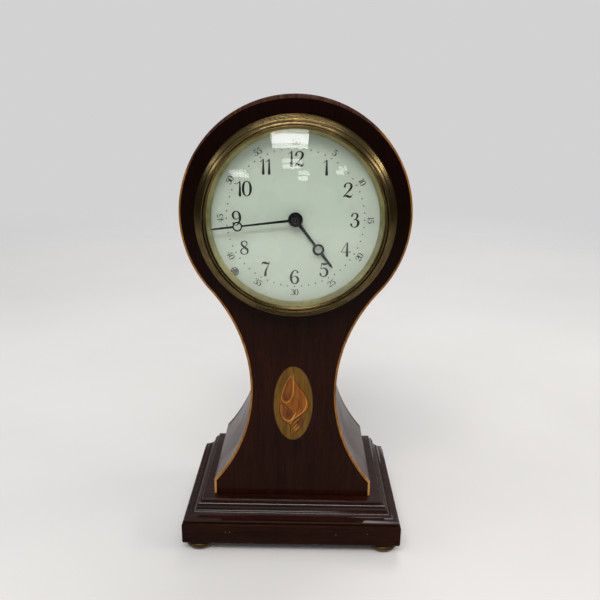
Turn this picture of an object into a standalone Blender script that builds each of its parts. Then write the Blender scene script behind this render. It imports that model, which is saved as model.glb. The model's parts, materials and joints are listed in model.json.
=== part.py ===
"""A balloon mantel clock: an inlaid mahogany case on a moulded plinth, with an eight-day drum movement.

The front faces -Y, +X is the clock's right as one faces it, and +Z is up. The origin is on the surface
that the clock stands on, midway under the plinth. Sizes below are in millimetres, and make() turns them
into metres. Every wheel turns about an axis along Y, and a positive turn is clockwise from the front.
"""

import math

import bmesh
import bpy
from mathutils import Matrix

MM = 0.001
GAP = 0.3

# Case: a round head joined to a flared foot by one concave sweep on each side, tangent to the head.
FOOT_HEIGHT = 4.7
PLINTH_WIDTH = 118.0
PLINTH_DEPTH = 86.7
PLINTH_BAND = 12.8
MOULDING_HEIGHT = 9.2
PLINTH_TOP = FOOT_HEIGHT + PLINTH_BAND + MOULDING_HEIGHT
CASE_BOTTOM = PLINTH_TOP + GAP
CASE_FRONT = -28.15
CASE_REAR = 41.2
HEAD_RADIUS = 57.6
HEAD_Z = 181.6
SWEEP_RADIUS = 82.0
SWEEP_X = 104.65
SWEEP_Z = HEAD_Z - math.sqrt((HEAD_RADIUS + SWEEP_RADIUS) ** 2 - SWEEP_X**2)
FLARE_HALF_WIDTH = 42.95
BOARD = 6.0
REAR_BOARD = 4.0
BAND_THICKNESS = 4.0
STRINGING_WIDTH = 1.3
STRINGING_DEPTH = 1.2
INLAY_Z = 81.5
INLAY_SIZE = (21.3, 42.8)
INLAY_DEPTH = 1.0

# Dial, bezel and glass, about the dial's centre.
DIAL_Z = 180.4
BEZEL_RADIUS = 50.0
BEZEL_HOLE = 44.1
DIAL_RADIUS = 43.0
DIAL_FACE = -30.0
DIAL_THICKNESS = 0.8
SIGHT_RADIUS = 41.3
GLASS_RADIUS = 43.7
GLASS_EDGE = -35.4
GLASS_RISE = 6.0
GLASS_THICKNESS = 1.4
DIAL_SCREW = (-30.0, -26.6)

# Hands, which show about 16 minutes to 5.
MINUTE_ANGLE = math.radians(262.8)
HOUR_ANGLE = math.radians(141.9)

# Movement.
DRUM_RADIUS = 42.5
DRUM_WALL = 0.8
PLATE_RADIUS = 39.5
FRONT_PLATE = (-20.0, -18.2)
BACK_PLATE = (13.0, 14.8)
PILLAR_CIRCLE = 37.5

# Tooth counts. Each pair that meshes shares a module.
GREAT_WHEEL, INTERMEDIATE_PINION, GREAT_MODULE = 60, 10, 0.54
INTERMEDIATE_WHEEL, CENTRE_PINION, INTERMEDIATE_MODULE = 50, 10, 0.48
CENTRE_WHEEL, THIRD_PINION = 48, 6
THIRD_WHEEL, FOURTH_PINION, TRAIN_MODULE = 45, 6, 0.5333
FOURTH_WHEEL, ESCAPE_PINION, FOURTH_MODULE = 48, 6, 0.48
CANNON_PINION, MINUTE_WHEEL = 10, 30
MINUTE_PINION, HOUR_WHEEL, MOTION_MODULE = 8, 32, 0.6
ESCAPE_TEETH = 15
ESCAPE_RADIUS = 5.0

# Tooth shapes: (addendum, dedendum, width at the root, width at the tip), the first two in modules and
# the widths in pitches. A root width of 1 leaves a V between the teeth. Each pair runs with backlash.
WHEEL_TOOTH = (0.7, 1.0, 1.0, 0.14)
PINION_LEAF = (0.45, 1.05, 0.5, 0.18)

# Rear ring, door and hinge.
RING_RADIUS = 47.5
RING_HOLE = 41.9
RING_DEPTH = (CASE_REAR + GAP, CASE_REAR + 0.9)
DOOR_RADIUS = 44.5
DOOR_DEPTH = (CASE_REAR + 1.2, CASE_REAR + 2.0)
HINGE_X = -48.8
HINGE_Y = 42.4
KNUCKLE_RADIUS = 0.85
KNUCKLE_BORE = 0.6
HINGE_PIN_RADIUS = 0.32


# ---------------------------------------------------------------- materials and objects

def material(name, colour, metallic, roughness):
    made = bpy.data.materials.new(name)
    made.use_nodes = True
    shader = made.node_tree.nodes["Principled BSDF"]
    shader.inputs["Base Color"].default_value = (*colour, 1.0)
    shader.inputs["Metallic"].default_value = metallic
    shader.inputs["Roughness"].default_value = roughness
    made.diffuse_color = (*colour, 1.0)
    return made


def make(name, bm, finish, parent=None):
    """One closed body, built in millimetres about its parent's axis, becomes a named object in metres."""
    bmesh.ops.recalc_face_normals(bm, faces=bm.faces[:])
    bmesh.ops.scale(bm, vec=(MM, MM, MM), verts=bm.verts[:])
    mesh = bpy.data.meshes.new(name)
    bm.to_mesh(mesh)
    bm.free()
    mesh.materials.append(finish)
    mesh.shade_smooth()
    mesh.set_sharp_from_angle(angle=math.radians(32))
    made = bpy.data.objects.new(name, mesh)
    bpy.context.scene.collection.objects.link(made)
    made.parent = parent
    return made


def axis_at(name, x, z, y=0.0):
    """An empty on a joint's axis, which carries the pieces of that body."""
    empty = bpy.data.objects.new(name, None)
    empty.empty_display_size = 0.01
    empty.location = (x * MM, y * MM, z * MM)
    bpy.context.scene.collection.objects.link(empty)
    return empty


def boolean(target, operation, name, bm):
    """Joins or cuts with a helper shape that isn't part of the clock."""
    cutter = make(name, bm, target.data.materials[0], target.parent)
    cutter.hide_render = True
    cutter.display_type = "WIRE"
    modifier = target.modifiers.new(name, "BOOLEAN")
    modifier.operation = operation
    modifier.object = cutter


# ---------------------------------------------------------------- shape building

def circle(radius, sides, centre=(0.0, 0.0), start=0.0):
    steps = (start + 2 * math.pi * i / sides for i in range(sides))
    return [(centre[0] + radius * math.cos(a), centre[1] + radius * math.sin(a)) for a in steps]


def arc(centre, radius, first, last, pieces):
    """Points from the angle first to the angle last, both ends included, in radians."""
    steps = (first + (last - first) * i / pieces for i in range(pieces + 1))
    return [(centre[0] + radius * math.cos(a), centre[1] + radius * math.sin(a)) for a in steps]


def loop_at(bm, points, y):
    """A loop of (x, z) points at one depth."""
    return [bm.verts.new((x, y, z)) for x, z in points]


def wall(bm, first, second, closed=True):
    count = len(first)
    for i in range(count if closed else count - 1):
        j = (i + 1) % count
        bm.faces.new((first[i], first[j], second[j], second[i]))


def fill(bm, *loops):
    """The flat face inside the first loop, less the others."""
    edges = []
    for loop in loops:
        for pair in zip(loop, loop[1:] + loop[:1]):
            edges.append(bm.edges.get(pair) or bm.edges.new(pair))
    bmesh.ops.triangle_fill(bm, use_beauty=True, use_dissolve=False, edges=edges)


def prism(outline, holes, front, rear):
    """A flat plate between two depths, with holes right through it."""
    bm = bmesh.new()
    ends = []
    for y in (front, rear):
        ends.append([loop_at(bm, points, y) for points in (outline, *holes)])
    for first, second in zip(*ends):
        wall(bm, first, second)
    for loops in ends:
        fill(bm, *loops)
    return bm


def stack(sections, bore=None):
    """Outlines one behind the other, each (points, front, rear) and each inside or around the next.

    A bore is a loop of points that runs through all of them.
    """
    bm = bmesh.new()
    loops = [(loop_at(bm, points, y0), loop_at(bm, points, y1)) for points, y0, y1 in sections]
    for front, rear in loops:
        wall(bm, front, rear)
    for (_, rear), (front, _) in zip(loops, loops[1:]):
        fill(bm, rear, front)
    front_cap, rear_cap = [loops[0][0]], [loops[-1][1]]
    if bore:
        front_cap.append(loop_at(bm, bore, sections[0][1]))
        rear_cap.append(loop_at(bm, bore, sections[-1][2]))
        wall(bm, front_cap[1], rear_cap[1])
    fill(bm, *front_cap)
    fill(bm, *rear_cap)
    return bm


def turned(profile, sides, ring=False):
    """A profile of (radius, y) turned about Y. A ring's profile closes on itself and has no point at 0."""
    bm = bmesh.new()
    loops = []
    for radius, y in profile:
        loops.append(loop_at(bm, circle(radius, sides), y) if radius else [bm.verts.new((0, y, 0))])
    pairs = list(zip(loops, loops[1:])) + ([(loops[-1], loops[0])] if ring else [])
    for first, second in pairs:
        if len(first) > 1 and len(second) > 1:
            wall(bm, first, second)
            continue
        tip, rim = (first[0], second) if len(first) == 1 else (second[0], first)
        for i in range(sides):
            bm.faces.new((tip, rim[i], rim[(i + 1) % sides]))
    return bm


def moved(bm, matrix):
    bmesh.ops.transform(bm, matrix=matrix, verts=bm.verts[:])
    return bm


def spiral_strip(inner, outer, turns, per_turn, thickness, front, rear, start=0.0):
    """A flat ribbon wound about Y, standing on edge between two depths."""
    bm = bmesh.new()
    sections = []
    for i in range(turns * per_turn + 1):
        angle = start + 2 * math.pi * i / per_turn
        radius = inner + (outer - inner) * i / (turns * per_turn)
        section = []
        far = radius + thickness
        for r, y in ((radius, front), (far, front), (far, rear), (radius, rear)):
            section.append(bm.verts.new((r * math.cos(angle), y, r * math.sin(angle))))
        sections.append(section)
    for first, second in zip(sections, sections[1:]):
        wall(bm, first, second)
    bm.faces.new(sections[0])
    bm.faces.new(sections[-1])
    return bm


# ---------------------------------------------------------------- wheels

def toothed(teeth, module, shape, phase=0.0):
    """A wheel's outline, with one tooth centred on the angle phase."""
    addendum, dedendum, root, tip = shape
    pitch = 2 * math.pi / teeth
    low = teeth * module / 2 - dedendum * module
    high = teeth * module / 2 + addendum * module
    corners = ((low, -root), (high, -tip), (high, tip), (low, root))
    points = []
    for k in range(teeth):
        middle = phase + k * pitch
        for radius, side in corners[: 3 if root == 1 else 4]:
            angle = middle + side * pitch / 2
            points.append((radius * math.cos(angle), radius * math.sin(angle)))
    return points


def meshed(teeth, phase, other_teeth, direction):
    """The phase of the other wheel, which lies in that direction and has a space where this has a tooth."""
    pitch = 2 * math.pi / teeth
    other_pitch = 2 * math.pi / other_teeth
    part = ((direction - phase) / pitch) % 1
    return direction + math.pi + (part + 0.5) * other_pitch


def crossings(inner, outer, count, half_arm):
    """The openings between a wheel's arms."""
    holes = []
    for k in range(count):
        middle = 2 * math.pi * (k + 0.5) / count
        outer_reach = math.pi / count - half_arm / outer
        inner_reach = math.pi / count - half_arm / inner
        outside = arc((0, 0), outer, middle - outer_reach, middle + outer_reach, 3)
        inside = arc((0, 0), inner, middle + inner_reach, middle - inner_reach, 1)
        holes.append(outside + inside)
    return holes


def step_from(point, direction, distance):
    return (point[0] + distance * math.cos(direction), point[1] + distance * math.sin(direction))


# Where each arbor stands, from the centre arbor outwards.
TO_INTERMEDIATE = math.radians(-72)
TO_BARREL = math.radians(182)
TO_THIRD = math.radians(150)
TO_FOURTH = math.radians(60)
TO_ESCAPE = 0.0
TO_BALANCE = math.radians(-20)
TO_MINUTE_WHEEL = math.radians(-45)
PALLET_DISTANCE = ESCAPE_RADIUS / math.cos(math.radians(40))
LEVER_LENGTH = 9.25


def next_arbor(place, direction, wheel, pinion, module):
    """Where the arbor of the other wheel of a meshing pair stands."""
    return step_from(place, direction, (wheel + pinion) * module / 2)


CENTRE = (0.0, DIAL_Z)
INTERMEDIATE = next_arbor(CENTRE, TO_INTERMEDIATE, INTERMEDIATE_WHEEL, CENTRE_PINION, INTERMEDIATE_MODULE)
BARREL = next_arbor(INTERMEDIATE, TO_BARREL, GREAT_WHEEL, INTERMEDIATE_PINION, GREAT_MODULE)
THIRD = next_arbor(CENTRE, TO_THIRD, CENTRE_WHEEL, THIRD_PINION, TRAIN_MODULE)
FOURTH = next_arbor(THIRD, TO_FOURTH, THIRD_WHEEL, FOURTH_PINION, TRAIN_MODULE)
ESCAPE = next_arbor(FOURTH, TO_ESCAPE, FOURTH_WHEEL, ESCAPE_PINION, FOURTH_MODULE)
PALLETS = step_from(ESCAPE, TO_BALANCE, PALLET_DISTANCE)
BALANCE = step_from(PALLETS, TO_BALANCE, LEVER_LENGTH)
MOTION = next_arbor(CENTRE, TO_MINUTE_WHEEL, CANNON_PINION, MINUTE_WHEEL, MOTION_MODULE)


# ---------------------------------------------------------------- case

def balloon(inset=0.0):
    """The case's outline, clockwise from its lower left corner, drawn in all round but the bottom."""
    lean = math.atan2(HEAD_Z - SWEEP_Z, SWEEP_X)
    sweep = SWEEP_RADIUS + inset
    drop = math.acos((SWEEP_X - FLARE_HALF_WIDTH + inset) / sweep)
    left = arc((-SWEEP_X, SWEEP_Z), sweep, -drop, lean, 9)
    head = arc((0, HEAD_Z), HEAD_RADIUS - inset, math.pi + lean, -lean, 32)
    right = [(-x, z) for x, z in reversed(left)]
    edge = FLARE_HALF_WIDTH - inset
    return [(-edge, CASE_BOTTOM), *left, *head[1:-1], *right, (edge, CASE_BOTTOM)]


def edge_strip(outer, inner, front, rear):
    """A strip that follows the sides and the head, open along the bottom."""
    bm = bmesh.new()
    corners = ((outer, front), (outer, rear), (inner, rear), (inner, front))
    loops = [loop_at(bm, points, y) for points, y in corners]
    for first, second in zip(loops, loops[1:] + loops[:1]):
        wall(bm, first, second, closed=False)
    for end in (0, -1):
        bm.faces.new([loop[end] for loop in loops])
    return bm


def oval(width, height, centre, sides):
    return [(centre[0] + x * width / 2, centre[1] + z * height / 2) for x, z in circle(1.0, sides)]


def front_panel():
    """The front board: a rebate at its edge for the stringing, the drum's hole and the inlay's pocket."""
    rebate = CASE_FRONT + STRINGING_DEPTH + GAP
    pocket = CASE_FRONT + INLAY_DEPTH + GAP
    hole_points = circle(BEZEL_HOLE, 40, (0, DIAL_Z))
    oval_points = oval(INLAY_SIZE[0] + 2 * GAP, INLAY_SIZE[1] + 2 * GAP, (0, INLAY_Z), 32)
    bm = bmesh.new()
    rear = loop_at(bm, balloon(), CASE_FRONT + BOARD)
    step = loop_at(bm, balloon(), rebate)
    inner_step = loop_at(bm, balloon(STRINGING_WIDTH + GAP), rebate)
    front = loop_at(bm, balloon(STRINGING_WIDTH + GAP), CASE_FRONT)
    wall(bm, rear, step)
    wall(bm, step, inner_step, closed=False)
    bm.faces.new((step[-1], step[0], inner_step[0], inner_step[-1]))
    wall(bm, inner_step, front)
    hole = [loop_at(bm, hole_points, y) for y in (CASE_FRONT, CASE_FRONT + BOARD)]
    wall(bm, *hole)
    oval_loops = [loop_at(bm, oval_points, y) for y in (CASE_FRONT, pocket)]
    wall(bm, *oval_loops)
    fill(bm, front, hole[0], oval_loops[0])
    fill(bm, rear, hole[1])
    fill(bm, oval_loops[1])
    return bm


def build_case(wood, plinth_wood, box_wood, inlay):
    panel = front_panel()
    bmesh.ops.remove_doubles(panel, verts=panel.verts[:], dist=1e-6)
    make("front_panel", panel, wood)
    outer, inner = balloon(), balloon(STRINGING_WIDTH)
    make("edge_stringing", edge_strip(outer, inner, CASE_FRONT, CASE_FRONT + STRINGING_DEPTH), box_wood)
    plate = prism(oval(*INLAY_SIZE, (0, INLAY_Z), 32), [], CASE_FRONT, CASE_FRONT + INLAY_DEPTH)
    make("shell_inlay", plate, inlay)
    band_front = CASE_FRONT + BOARD + GAP
    band_rear = CASE_REAR - REAR_BOARD - GAP
    make("case_band", edge_strip(outer, balloon(BAND_THICKNESS), band_front, band_rear), wood)
    hole = circle(BEZEL_HOLE, 40, (0, DIAL_Z))
    make("back_panel", prism(balloon(), [hole], CASE_REAR - REAR_BOARD, CASE_REAR), wood)
    floor_half = FLARE_HALF_WIDTH - BAND_THICKNESS - GAP
    top = CASE_BOTTOM + BAND_THICKNESS
    floor = [(-floor_half, CASE_BOTTOM), (floor_half, CASE_BOTTOM), (floor_half, top), (-floor_half, top)]
    make("case_floor", prism(floor, [], band_front, band_rear), wood)
    build_plinth(plinth_wood)


def plinth_stack(levels):
    """Rectangles one on the other, each (inset, z), flush with the back."""
    bm = bmesh.new()
    loops = []
    for inset, z in levels:
        side, front, rear = PLINTH_WIDTH / 2 - inset, -PLINTH_DEPTH / 2 + inset, PLINTH_DEPTH / 2
        corners = ((-side, front), (side, front), (side, rear), (-side, rear))
        loops.append([bm.verts.new((x, y, z)) for x, y in corners])
    for first, second in zip(loops, loops[1:]):
        wall(bm, first, second)
    bm.faces.new(loops[0])
    bm.faces.new(loops[-1])
    return bm


def quarter(inset, z, across, up, pieces, hollow=False):
    """A quarter-ellipse of moulding that climbs from (inset, z), hollow for a cove."""
    levels = []
    for i in range(1, pieces + 1):
        a = math.pi / 2 * i / pieces
        if hollow:
            levels.append((inset + across * math.sin(a), z + up * (1 - math.cos(a))))
        else:
            levels.append((inset + across * (1 - math.cos(a)), z + up * math.sin(a)))
    return levels


def build_plinth(wood):
    low, high = FOOT_HEIGHT, FOOT_HEIGHT + PLINTH_BAND - GAP
    band = [(1.9, low), *quarter(1.9, low, -1.9, 2.2, 3, hollow=True), (0.0, high - 1.2)]
    band += quarter(0.0, high - 1.2, 0.8, 1.2, 3)
    block = make("plinth_block", plinth_stack(band), wood)
    for x, y in foot_places():
        socket = stack([(circle(2.5, 16), -FOOT_HEIGHT, 8.0)])
        socket = moved(socket, Matrix.Rotation(math.radians(90), 4, "X"))
        socket = moved(socket, Matrix.Translation((x, y, 4.0 + FOOT_HEIGHT)))
        boolean(block, "DIFFERENCE", "foot_socket", socket)
    base = FOOT_HEIGHT + PLINTH_BAND
    levels = [(0.8, base), (2.2, base + 0.9)]
    levels += quarter(2.2, base + 1.4, 3.3, 2.9, 4, hollow=True)
    levels += [(6.4, base + 4.3), *quarter(6.4, base + 4.9, 2.2, 2.8, 4)]
    levels += [(9.9, base + 7.7), (9.9, PLINTH_TOP)]
    make("plinth_moulding", plinth_stack(levels), wood)


def foot_places():
    x, y = PLINTH_WIDTH / 2 - 8.5, PLINTH_DEPTH / 2 - 8.5
    return ((-x, -y), (x, -y), (-x, y), (x, y))


def build_feet(brass):
    top = FOOT_HEIGHT - GAP
    profile = [(0, 0), (5.2, 0), (7.0, 0.8), (7.75, 2.2), (7.4, 3.4), (6.4, top)]
    profile += [(2.1, top), (2.1, 11.5), (0, 11.5)]
    names = ("foot_front_left", "foot_front_right", "foot_rear_left", "foot_rear_right")
    for name, (x, y) in zip(names, foot_places()):
        upright = moved(turned(profile, 16), Matrix.Rotation(math.radians(90), 4, "X"))
        make(name, moved(upright, Matrix.Translation((x, y, 0))), brass)


# ---------------------------------------------------------------- dial side

def build_front(brass, glass, enamel, steel, dial_axis):
    seat = CASE_FRONT - GAP
    ring = [(BEZEL_RADIUS, seat), (BEZEL_RADIUS, seat - 1.3), (48.4, seat - 4.2), (47.0, seat - 7.2)]
    ring += [(46.2, seat - 8.1), (45.2, seat - 8.3), (43.1, seat - 7.6), (43.1, seat - 7.3)]
    ring += [(BEZEL_HOLE, seat - 7.3), (BEZEL_HOLE, seat)]
    make("bezel", turned(ring, 44, ring=True), brass, dial_axis)
    make("dial_glass", glass_dome(), glass, dial_axis)
    sight = [(SIGHT_RADIUS, -31.5), (GLASS_RADIUS, -34.8), (GLASS_RADIUS, -31.2), (SIGHT_RADIUS, -31.2)]
    make("sight_ring", turned(sight, 40, ring=True), brass, dial_axis)
    holes = [circle(2.7, 20), circle(1.1, 10, DIAL_SCREW)]
    plate = prism(circle(DIAL_RADIUS, 48), holes, DIAL_FACE, DIAL_FACE + DIAL_THICKNESS)
    make("dial", plate, enamel, dial_axis)
    head = [(0, -30.95), (1.4, -30.85), (2.2, -30.5), (2.2, -30.3), (0.75, -30.3), (0.75, -27.8), (0, -27.8)]
    screw = moved(turned(head, 16), Matrix.Translation((DIAL_SCREW[0], 0, DIAL_SCREW[1])))
    make("dial_screw", screw, steel, dial_axis)


def glass_dome():
    """A shallow bowl of glass, bulging forward, with a flat ground edge."""
    curve = (GLASS_RADIUS**2 + GLASS_RISE**2) / (2 * GLASS_RISE)
    reach = math.asin(GLASS_RADIUS / curve)
    rings = [i / 5 for i in range(6)]
    middle = GLASS_EDGE - GLASS_RISE + curve
    outside = [(curve * math.sin(reach * t), middle - curve * math.cos(reach * t)) for t in rings]
    inside = [(r, y + GLASS_THICKNESS - 0.9 * r / GLASS_RADIUS) for r, y in reversed(outside)]
    inside[-1] = (0, inside[-1][1])
    return turned(outside + inside, 36)


def hand_outline(length, hub, ring_at, ring_radius, root, tip):
    """A moon hand that points to +Z: a hub, a tapered shaft, a ring, and a fine point."""
    at_hub = math.asin(root / hub)
    at_ring = math.asin(tip / ring_radius)
    above = math.asin(tip * 1.3 / ring_radius)
    quarter_turn = math.pi / 2
    hub_arc = arc((0, 0), hub, quarter_turn - at_hub, -3 * quarter_turn + at_hub, 14)
    left = arc((0, ring_at), ring_radius, -quarter_turn - at_ring, -3 * quarter_turn + above, 7)
    right = [(-x, z) for x, z in reversed(left)]
    return [*hub_arc, *left, (-tip * 0.9, length - 2), (0, length), (tip * 0.9, length - 2), *right]


def clockwise(points, angle):
    """Points turned clockwise, as seen from the front."""
    c, s = math.cos(angle), math.sin(angle)
    return [(x * c + z * s, -x * s + z * c) for x, z in points]


def build_hands(steel, brass, minute_body, hour_body):
    outline = clockwise(hand_outline(41.3, 3.0, 28.4, 2.35, 0.85, 0.45), MINUTE_ANGLE)
    ring = clockwise(circle(1.7, 12, (0, 28.4)), MINUTE_ANGLE)
    make("minute_hand", prism(outline, [circle(1.8, 16), ring], -33.6, -33.1), steel, minute_body)
    outline = clockwise(hand_outline(30.3, 3.6, 18.7, 2.8, 1.0, 0.6), HOUR_ANGLE)
    ring = clockwise(circle(1.8, 12, (0, 18.7)), HOUR_ANGLE)
    make("hour_hand", prism(outline, [circle(2.5, 16), ring], -31.9, -31.4), steel, hour_body)
    collet = [(0, -35.5), (0.8, -35.35), (1.3, -34.9), (1.3, -34.9 + GAP), (0, -34.9 + GAP)]
    make("hand_collet", turned(collet, 16), brass, minute_body)


# ---------------------------------------------------------------- movement frame

def around_centre(place):
    """A place in the case as an offset from the dial's centre."""
    return (place[0], place[1] - DIAL_Z)


def pillar_places():
    return circle(PILLAR_CIRCLE, 4)


def regulator_slot():
    """The curved slot in the back plate that the regulator's curb pin moves along."""
    middle, sweep, centre = math.radians(-60), math.radians(38), around_centre(BALANCE)
    outside = arc(centre, 6.6, middle - sweep, middle + sweep, 6)
    inside = arc(centre, 5.4, middle + sweep, middle - sweep, 6)
    return outside + inside


def build_frame(brass, steel, dial_axis):
    tube = [(DRUM_RADIUS, -27.8), (DRUM_RADIUS, CASE_REAR), (DRUM_RADIUS - DRUM_WALL, CASE_REAR)]
    tube.append((DRUM_RADIUS - DRUM_WALL, -27.8))
    make("movement_drum", turned(tube, 40, ring=True), brass, dial_axis)
    pivots = [(place, 0.8) for place in (THIRD, FOURTH, ESCAPE, PALLETS, INTERMEDIATE)]
    for name, depths, extra in (
        ("front_plate", FRONT_PLATE, [(CENTRE, 1.1), (BARREL, 1.5), (BALANCE, 0.8), (MOTION, 0.9)]),
        ("back_plate", BACK_PLATE, [(CENTRE, 1.1), (BARREL, 1.9), (BALANCE, 1.3)]),
    ):
        holes = [circle(radius, 8, around_centre(place)) for place, radius in pivots + extra]
        holes += [circle(1.1, 8, place) for place in pillar_places()]
        if name == "back_plate":
            holes.append(regulator_slot())
        make(name, prism(circle(PLATE_RADIUS, 40), holes, *depths), brass, dial_axis)
    near, far = FRONT_PLATE[1] + GAP, BACK_PLATE[0] - GAP
    for number, (x, z) in enumerate(pillar_places(), 1):
        thin, thick = circle(0.7, 8, (x, z)), circle(1.8, 8, (x, z))
        levels = [(thin, FRONT_PLATE[0] - 0.6, near), (thick, near, far), (thin, far, BACK_PLATE[1] + 0.6)]
        make(f"pillar_{number}", stack(levels), brass, dial_axis)
    x, z = around_centre(MOTION)
    stud = [(circle(1.3, 12, (x, z)), -28.3, -27.6), (circle(0.6, 12, (x, z)), -27.6, -22.0)]
    stud += [(circle(1.3, 12, (x, z)), -22.0, FRONT_PLATE[0] - GAP)]
    stud += [(circle(0.6, 12, (x, z)), FRONT_PLATE[0] - GAP, FRONT_PLATE[1])]
    make("minute_wheel_stud", stack(stud), steel, dial_axis)
    x, z = around_centre(BALANCE)
    screw = [(circle(1.0, 12, (x, z)), BACK_PLATE[0] - 0.1, 16.2), (circle(2.0, 12, (x, z)), 16.2, 17.0)]
    make("balance_bearing_screw", stack(screw), steel, dial_axis)


def disc_with_lugs(radius, lugs, first, last, step):
    """A disc's outline from the angle first round to last, with lugs (high, low) that reach the hinge."""
    points, angle = [], first
    for high, low in lugs:
        lug = math.pi - math.asin(high / radius)
        points += arc((0, 0), radius, angle, lug, max(1, round((lug - angle) / step)))
        points += [(HINGE_X, high), (HINGE_X, low)]
        angle = math.pi - math.asin(low / radius)
    return points + arc((0, 0), radius, angle, last, round((last - angle) / step))


def build_rear(brass, steel, dial_axis, door_axis):
    """The rear ring, its hinge and the round door. The knuckles are joined on, then bored."""
    step = math.radians(9)
    outline = disc_with_lugs(RING_RADIUS, [(7.0, 3.4), (-3.4, -7.0)], 0.0, 2 * math.pi - step, step)
    ring = make("rear_ring", prism(outline, [circle(RING_HOLE, 40)], *RING_DEPTH), brass, dial_axis)
    for low in (-7.1, 3.3):
        boolean(ring, "UNION", "ring_knuckle", knuckle(KNUCKLE_RADIUS, low, low + 3.8, HINGE_X, HINGE_Y))
    boolean(ring, "DIFFERENCE", "ring_bore", knuckle(KNUCKLE_BORE, -8.0, 8.0, HINGE_X, HINGE_Y))

    spread = math.radians(10)
    disc = disc_with_lugs(DOOR_RADIUS, [(2.9, -2.9)], spread, 2 * math.pi - spread, step)
    lip = arc((0, 0), DOOR_RADIUS + 1.6, -spread * 0.7, spread * 0.7, 5)
    outline = [(x - HINGE_X, z) for x, z in disc + lip]
    front, rear = (y - HINGE_Y for y in DOOR_DEPTH)
    door = make("rear_door", prism(outline, [], front, rear), brass, door_axis)
    boolean(door, "UNION", "door_knuckle", knuckle(KNUCKLE_RADIUS, -3.0, 3.0, 0, 0))
    boolean(door, "DIFFERENCE", "door_bore", knuckle(KNUCKLE_BORE, -4.0, 4.0, 0, 0))
    make("hinge_pin", knuckle(HINGE_PIN_RADIUS, -6.8, 6.8, HINGE_X, HINGE_Y), steel, dial_axis)


def knuckle(radius, low, high, x, y):
    """An upright round bar, with no edge level with the door's plate."""
    outline = circle(radius, 12, start=math.radians(15))
    upright = moved(stack([(outline, -high, -low)]), Matrix.Rotation(math.radians(-90), 4, "X"))
    return moved(upright, Matrix.Translation((x, y, 0)))


# ---------------------------------------------------------------- power

def barrel_drum():
    """The barrel and the great wheel cut on its rear end, in one piece."""
    front, floor, rear = -16.6, -6.0, -4.5
    bm = bmesh.new()
    teeth = toothed(GREAT_WHEEL, GREAT_MODULE, WHEEL_TOOTH)
    tooth_loops = [loop_at(bm, teeth, y) for y in (floor, rear)]
    holes = [loop_at(bm, circle(2.3, 16), y) for y in (floor, rear)]
    outside = [loop_at(bm, circle(14.8, 32), y) for y in (front, floor)]
    inside = [loop_at(bm, circle(14.0, 32), y) for y in (front, floor)]
    for pair in (tooth_loops, holes, outside, inside, (outside[0], inside[0])):
        wall(bm, *pair)
    fill(bm, tooth_loops[0], outside[1])
    fill(bm, tooth_loops[1], holes[1])
    fill(bm, inside[1], holes[0])
    return bm


def winding_key():
    """A butterfly key: a socket for the winding square, and two rounded wings."""
    socket = stack([(circle(2.7, 20), 17.4, 26.0)], bore=circle(1.8, 16))
    key = [socket]
    wing = [(0.0, 24.6), *arc((6.6, 27.6), 3.6, math.radians(-110), math.radians(110), 8), (0.0, 30.0)]
    outline = wing + [(-x, y) for x, y in reversed(wing[1:-1])]
    flat = prism([(x, -y) for x, y in outline], [], -0.8, 0.8)
    key.append(moved(flat, Matrix.Rotation(math.radians(90), 4, "X")))
    return key


def build_power(brass, steel, spring_steel, barrel_body, winding_body):
    make("barrel", barrel_drum(), brass, barrel_body)
    make("barrel_cap", prism(circle(13.6, 32), [circle(2.3, 16)], -16.6, -15.8), brass, barrel_body)
    square = circle(1.4, 4, start=math.radians(45))
    arbor = [(circle(1.2, 16), -20.5, -17.8), (circle(2.0, 16), -17.8, -4.0), (circle(1.6, 16), -4.0, 15.0)]
    make("barrel_arbor", stack(arbor + [(square, 15.0, 24.0)]), steel, winding_body)
    spring = spiral_strip(2.5, 12.6, 5, 12, 0.45, -15.4, -6.4)
    make("mainspring", spring, spring_steel, winding_body)
    ratchet = []
    for k in range(24):
        for radius, share in ((3.9, 0.0), (4.7, 0.12)):
            angle = 2 * math.pi * (k + share) / 24
            ratchet.append((radius * math.cos(angle), radius * math.sin(angle)))
    make("ratchet_wheel", prism(ratchet, [circle(1.8, 12)], 15.1, 16.3), steel, winding_body)
    pieces = winding_key()
    key = make("winding_key", pieces[0], brass, winding_body)
    boolean(key, "UNION", "key_wings", pieces[1])


def build_click(steel, dial_axis):
    """A click and its spring cut from one strip, pinned to the back plate beside the ratchet wheel."""
    x, z = around_centre(BARREL)
    tip = [(5.1, 0.4), (5.6, -0.6), (8.2, 2.4)]
    blade = [(9.6, 7.6), (8.8, 12.4), (8.1, 12.4), (8.7, 7.8), (7.4, 3.6)]
    outline = [(x + u, z + v) for u, v in tip + blade]
    make("click_spring", prism(outline, [], 15.1, 16.1), steel, dial_axis)


# ---------------------------------------------------------------- going train

def pinion_arbor(name, pinion, levels, steel, body):
    """An arbor with its pinion: levels are the pivot, shoulder and pinion depths from front to rear."""
    front_pivot, front, near, far, rear, rear_pivot, pivot, thick = levels
    sections = [(circle(pivot, 8), front_pivot, front), (circle(thick, 8), front, near), (pinion, near, far)]
    sections += [(circle(thick, 8), far, rear), (circle(pivot, 8), rear, rear_pivot)]
    make(name, stack(sections), steel, body)


def train_wheel(name, teeth, module, arbor, depths, brass, body):
    rim = teeth * module / 2 - 3 * module
    holes = [circle(arbor + GAP, 12), *crossings(2.6 + arbor, rim, 4, 0.6)]
    make(name, prism(toothed(teeth, module, WHEEL_TOOTH), holes, *depths), brass, body)


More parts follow.
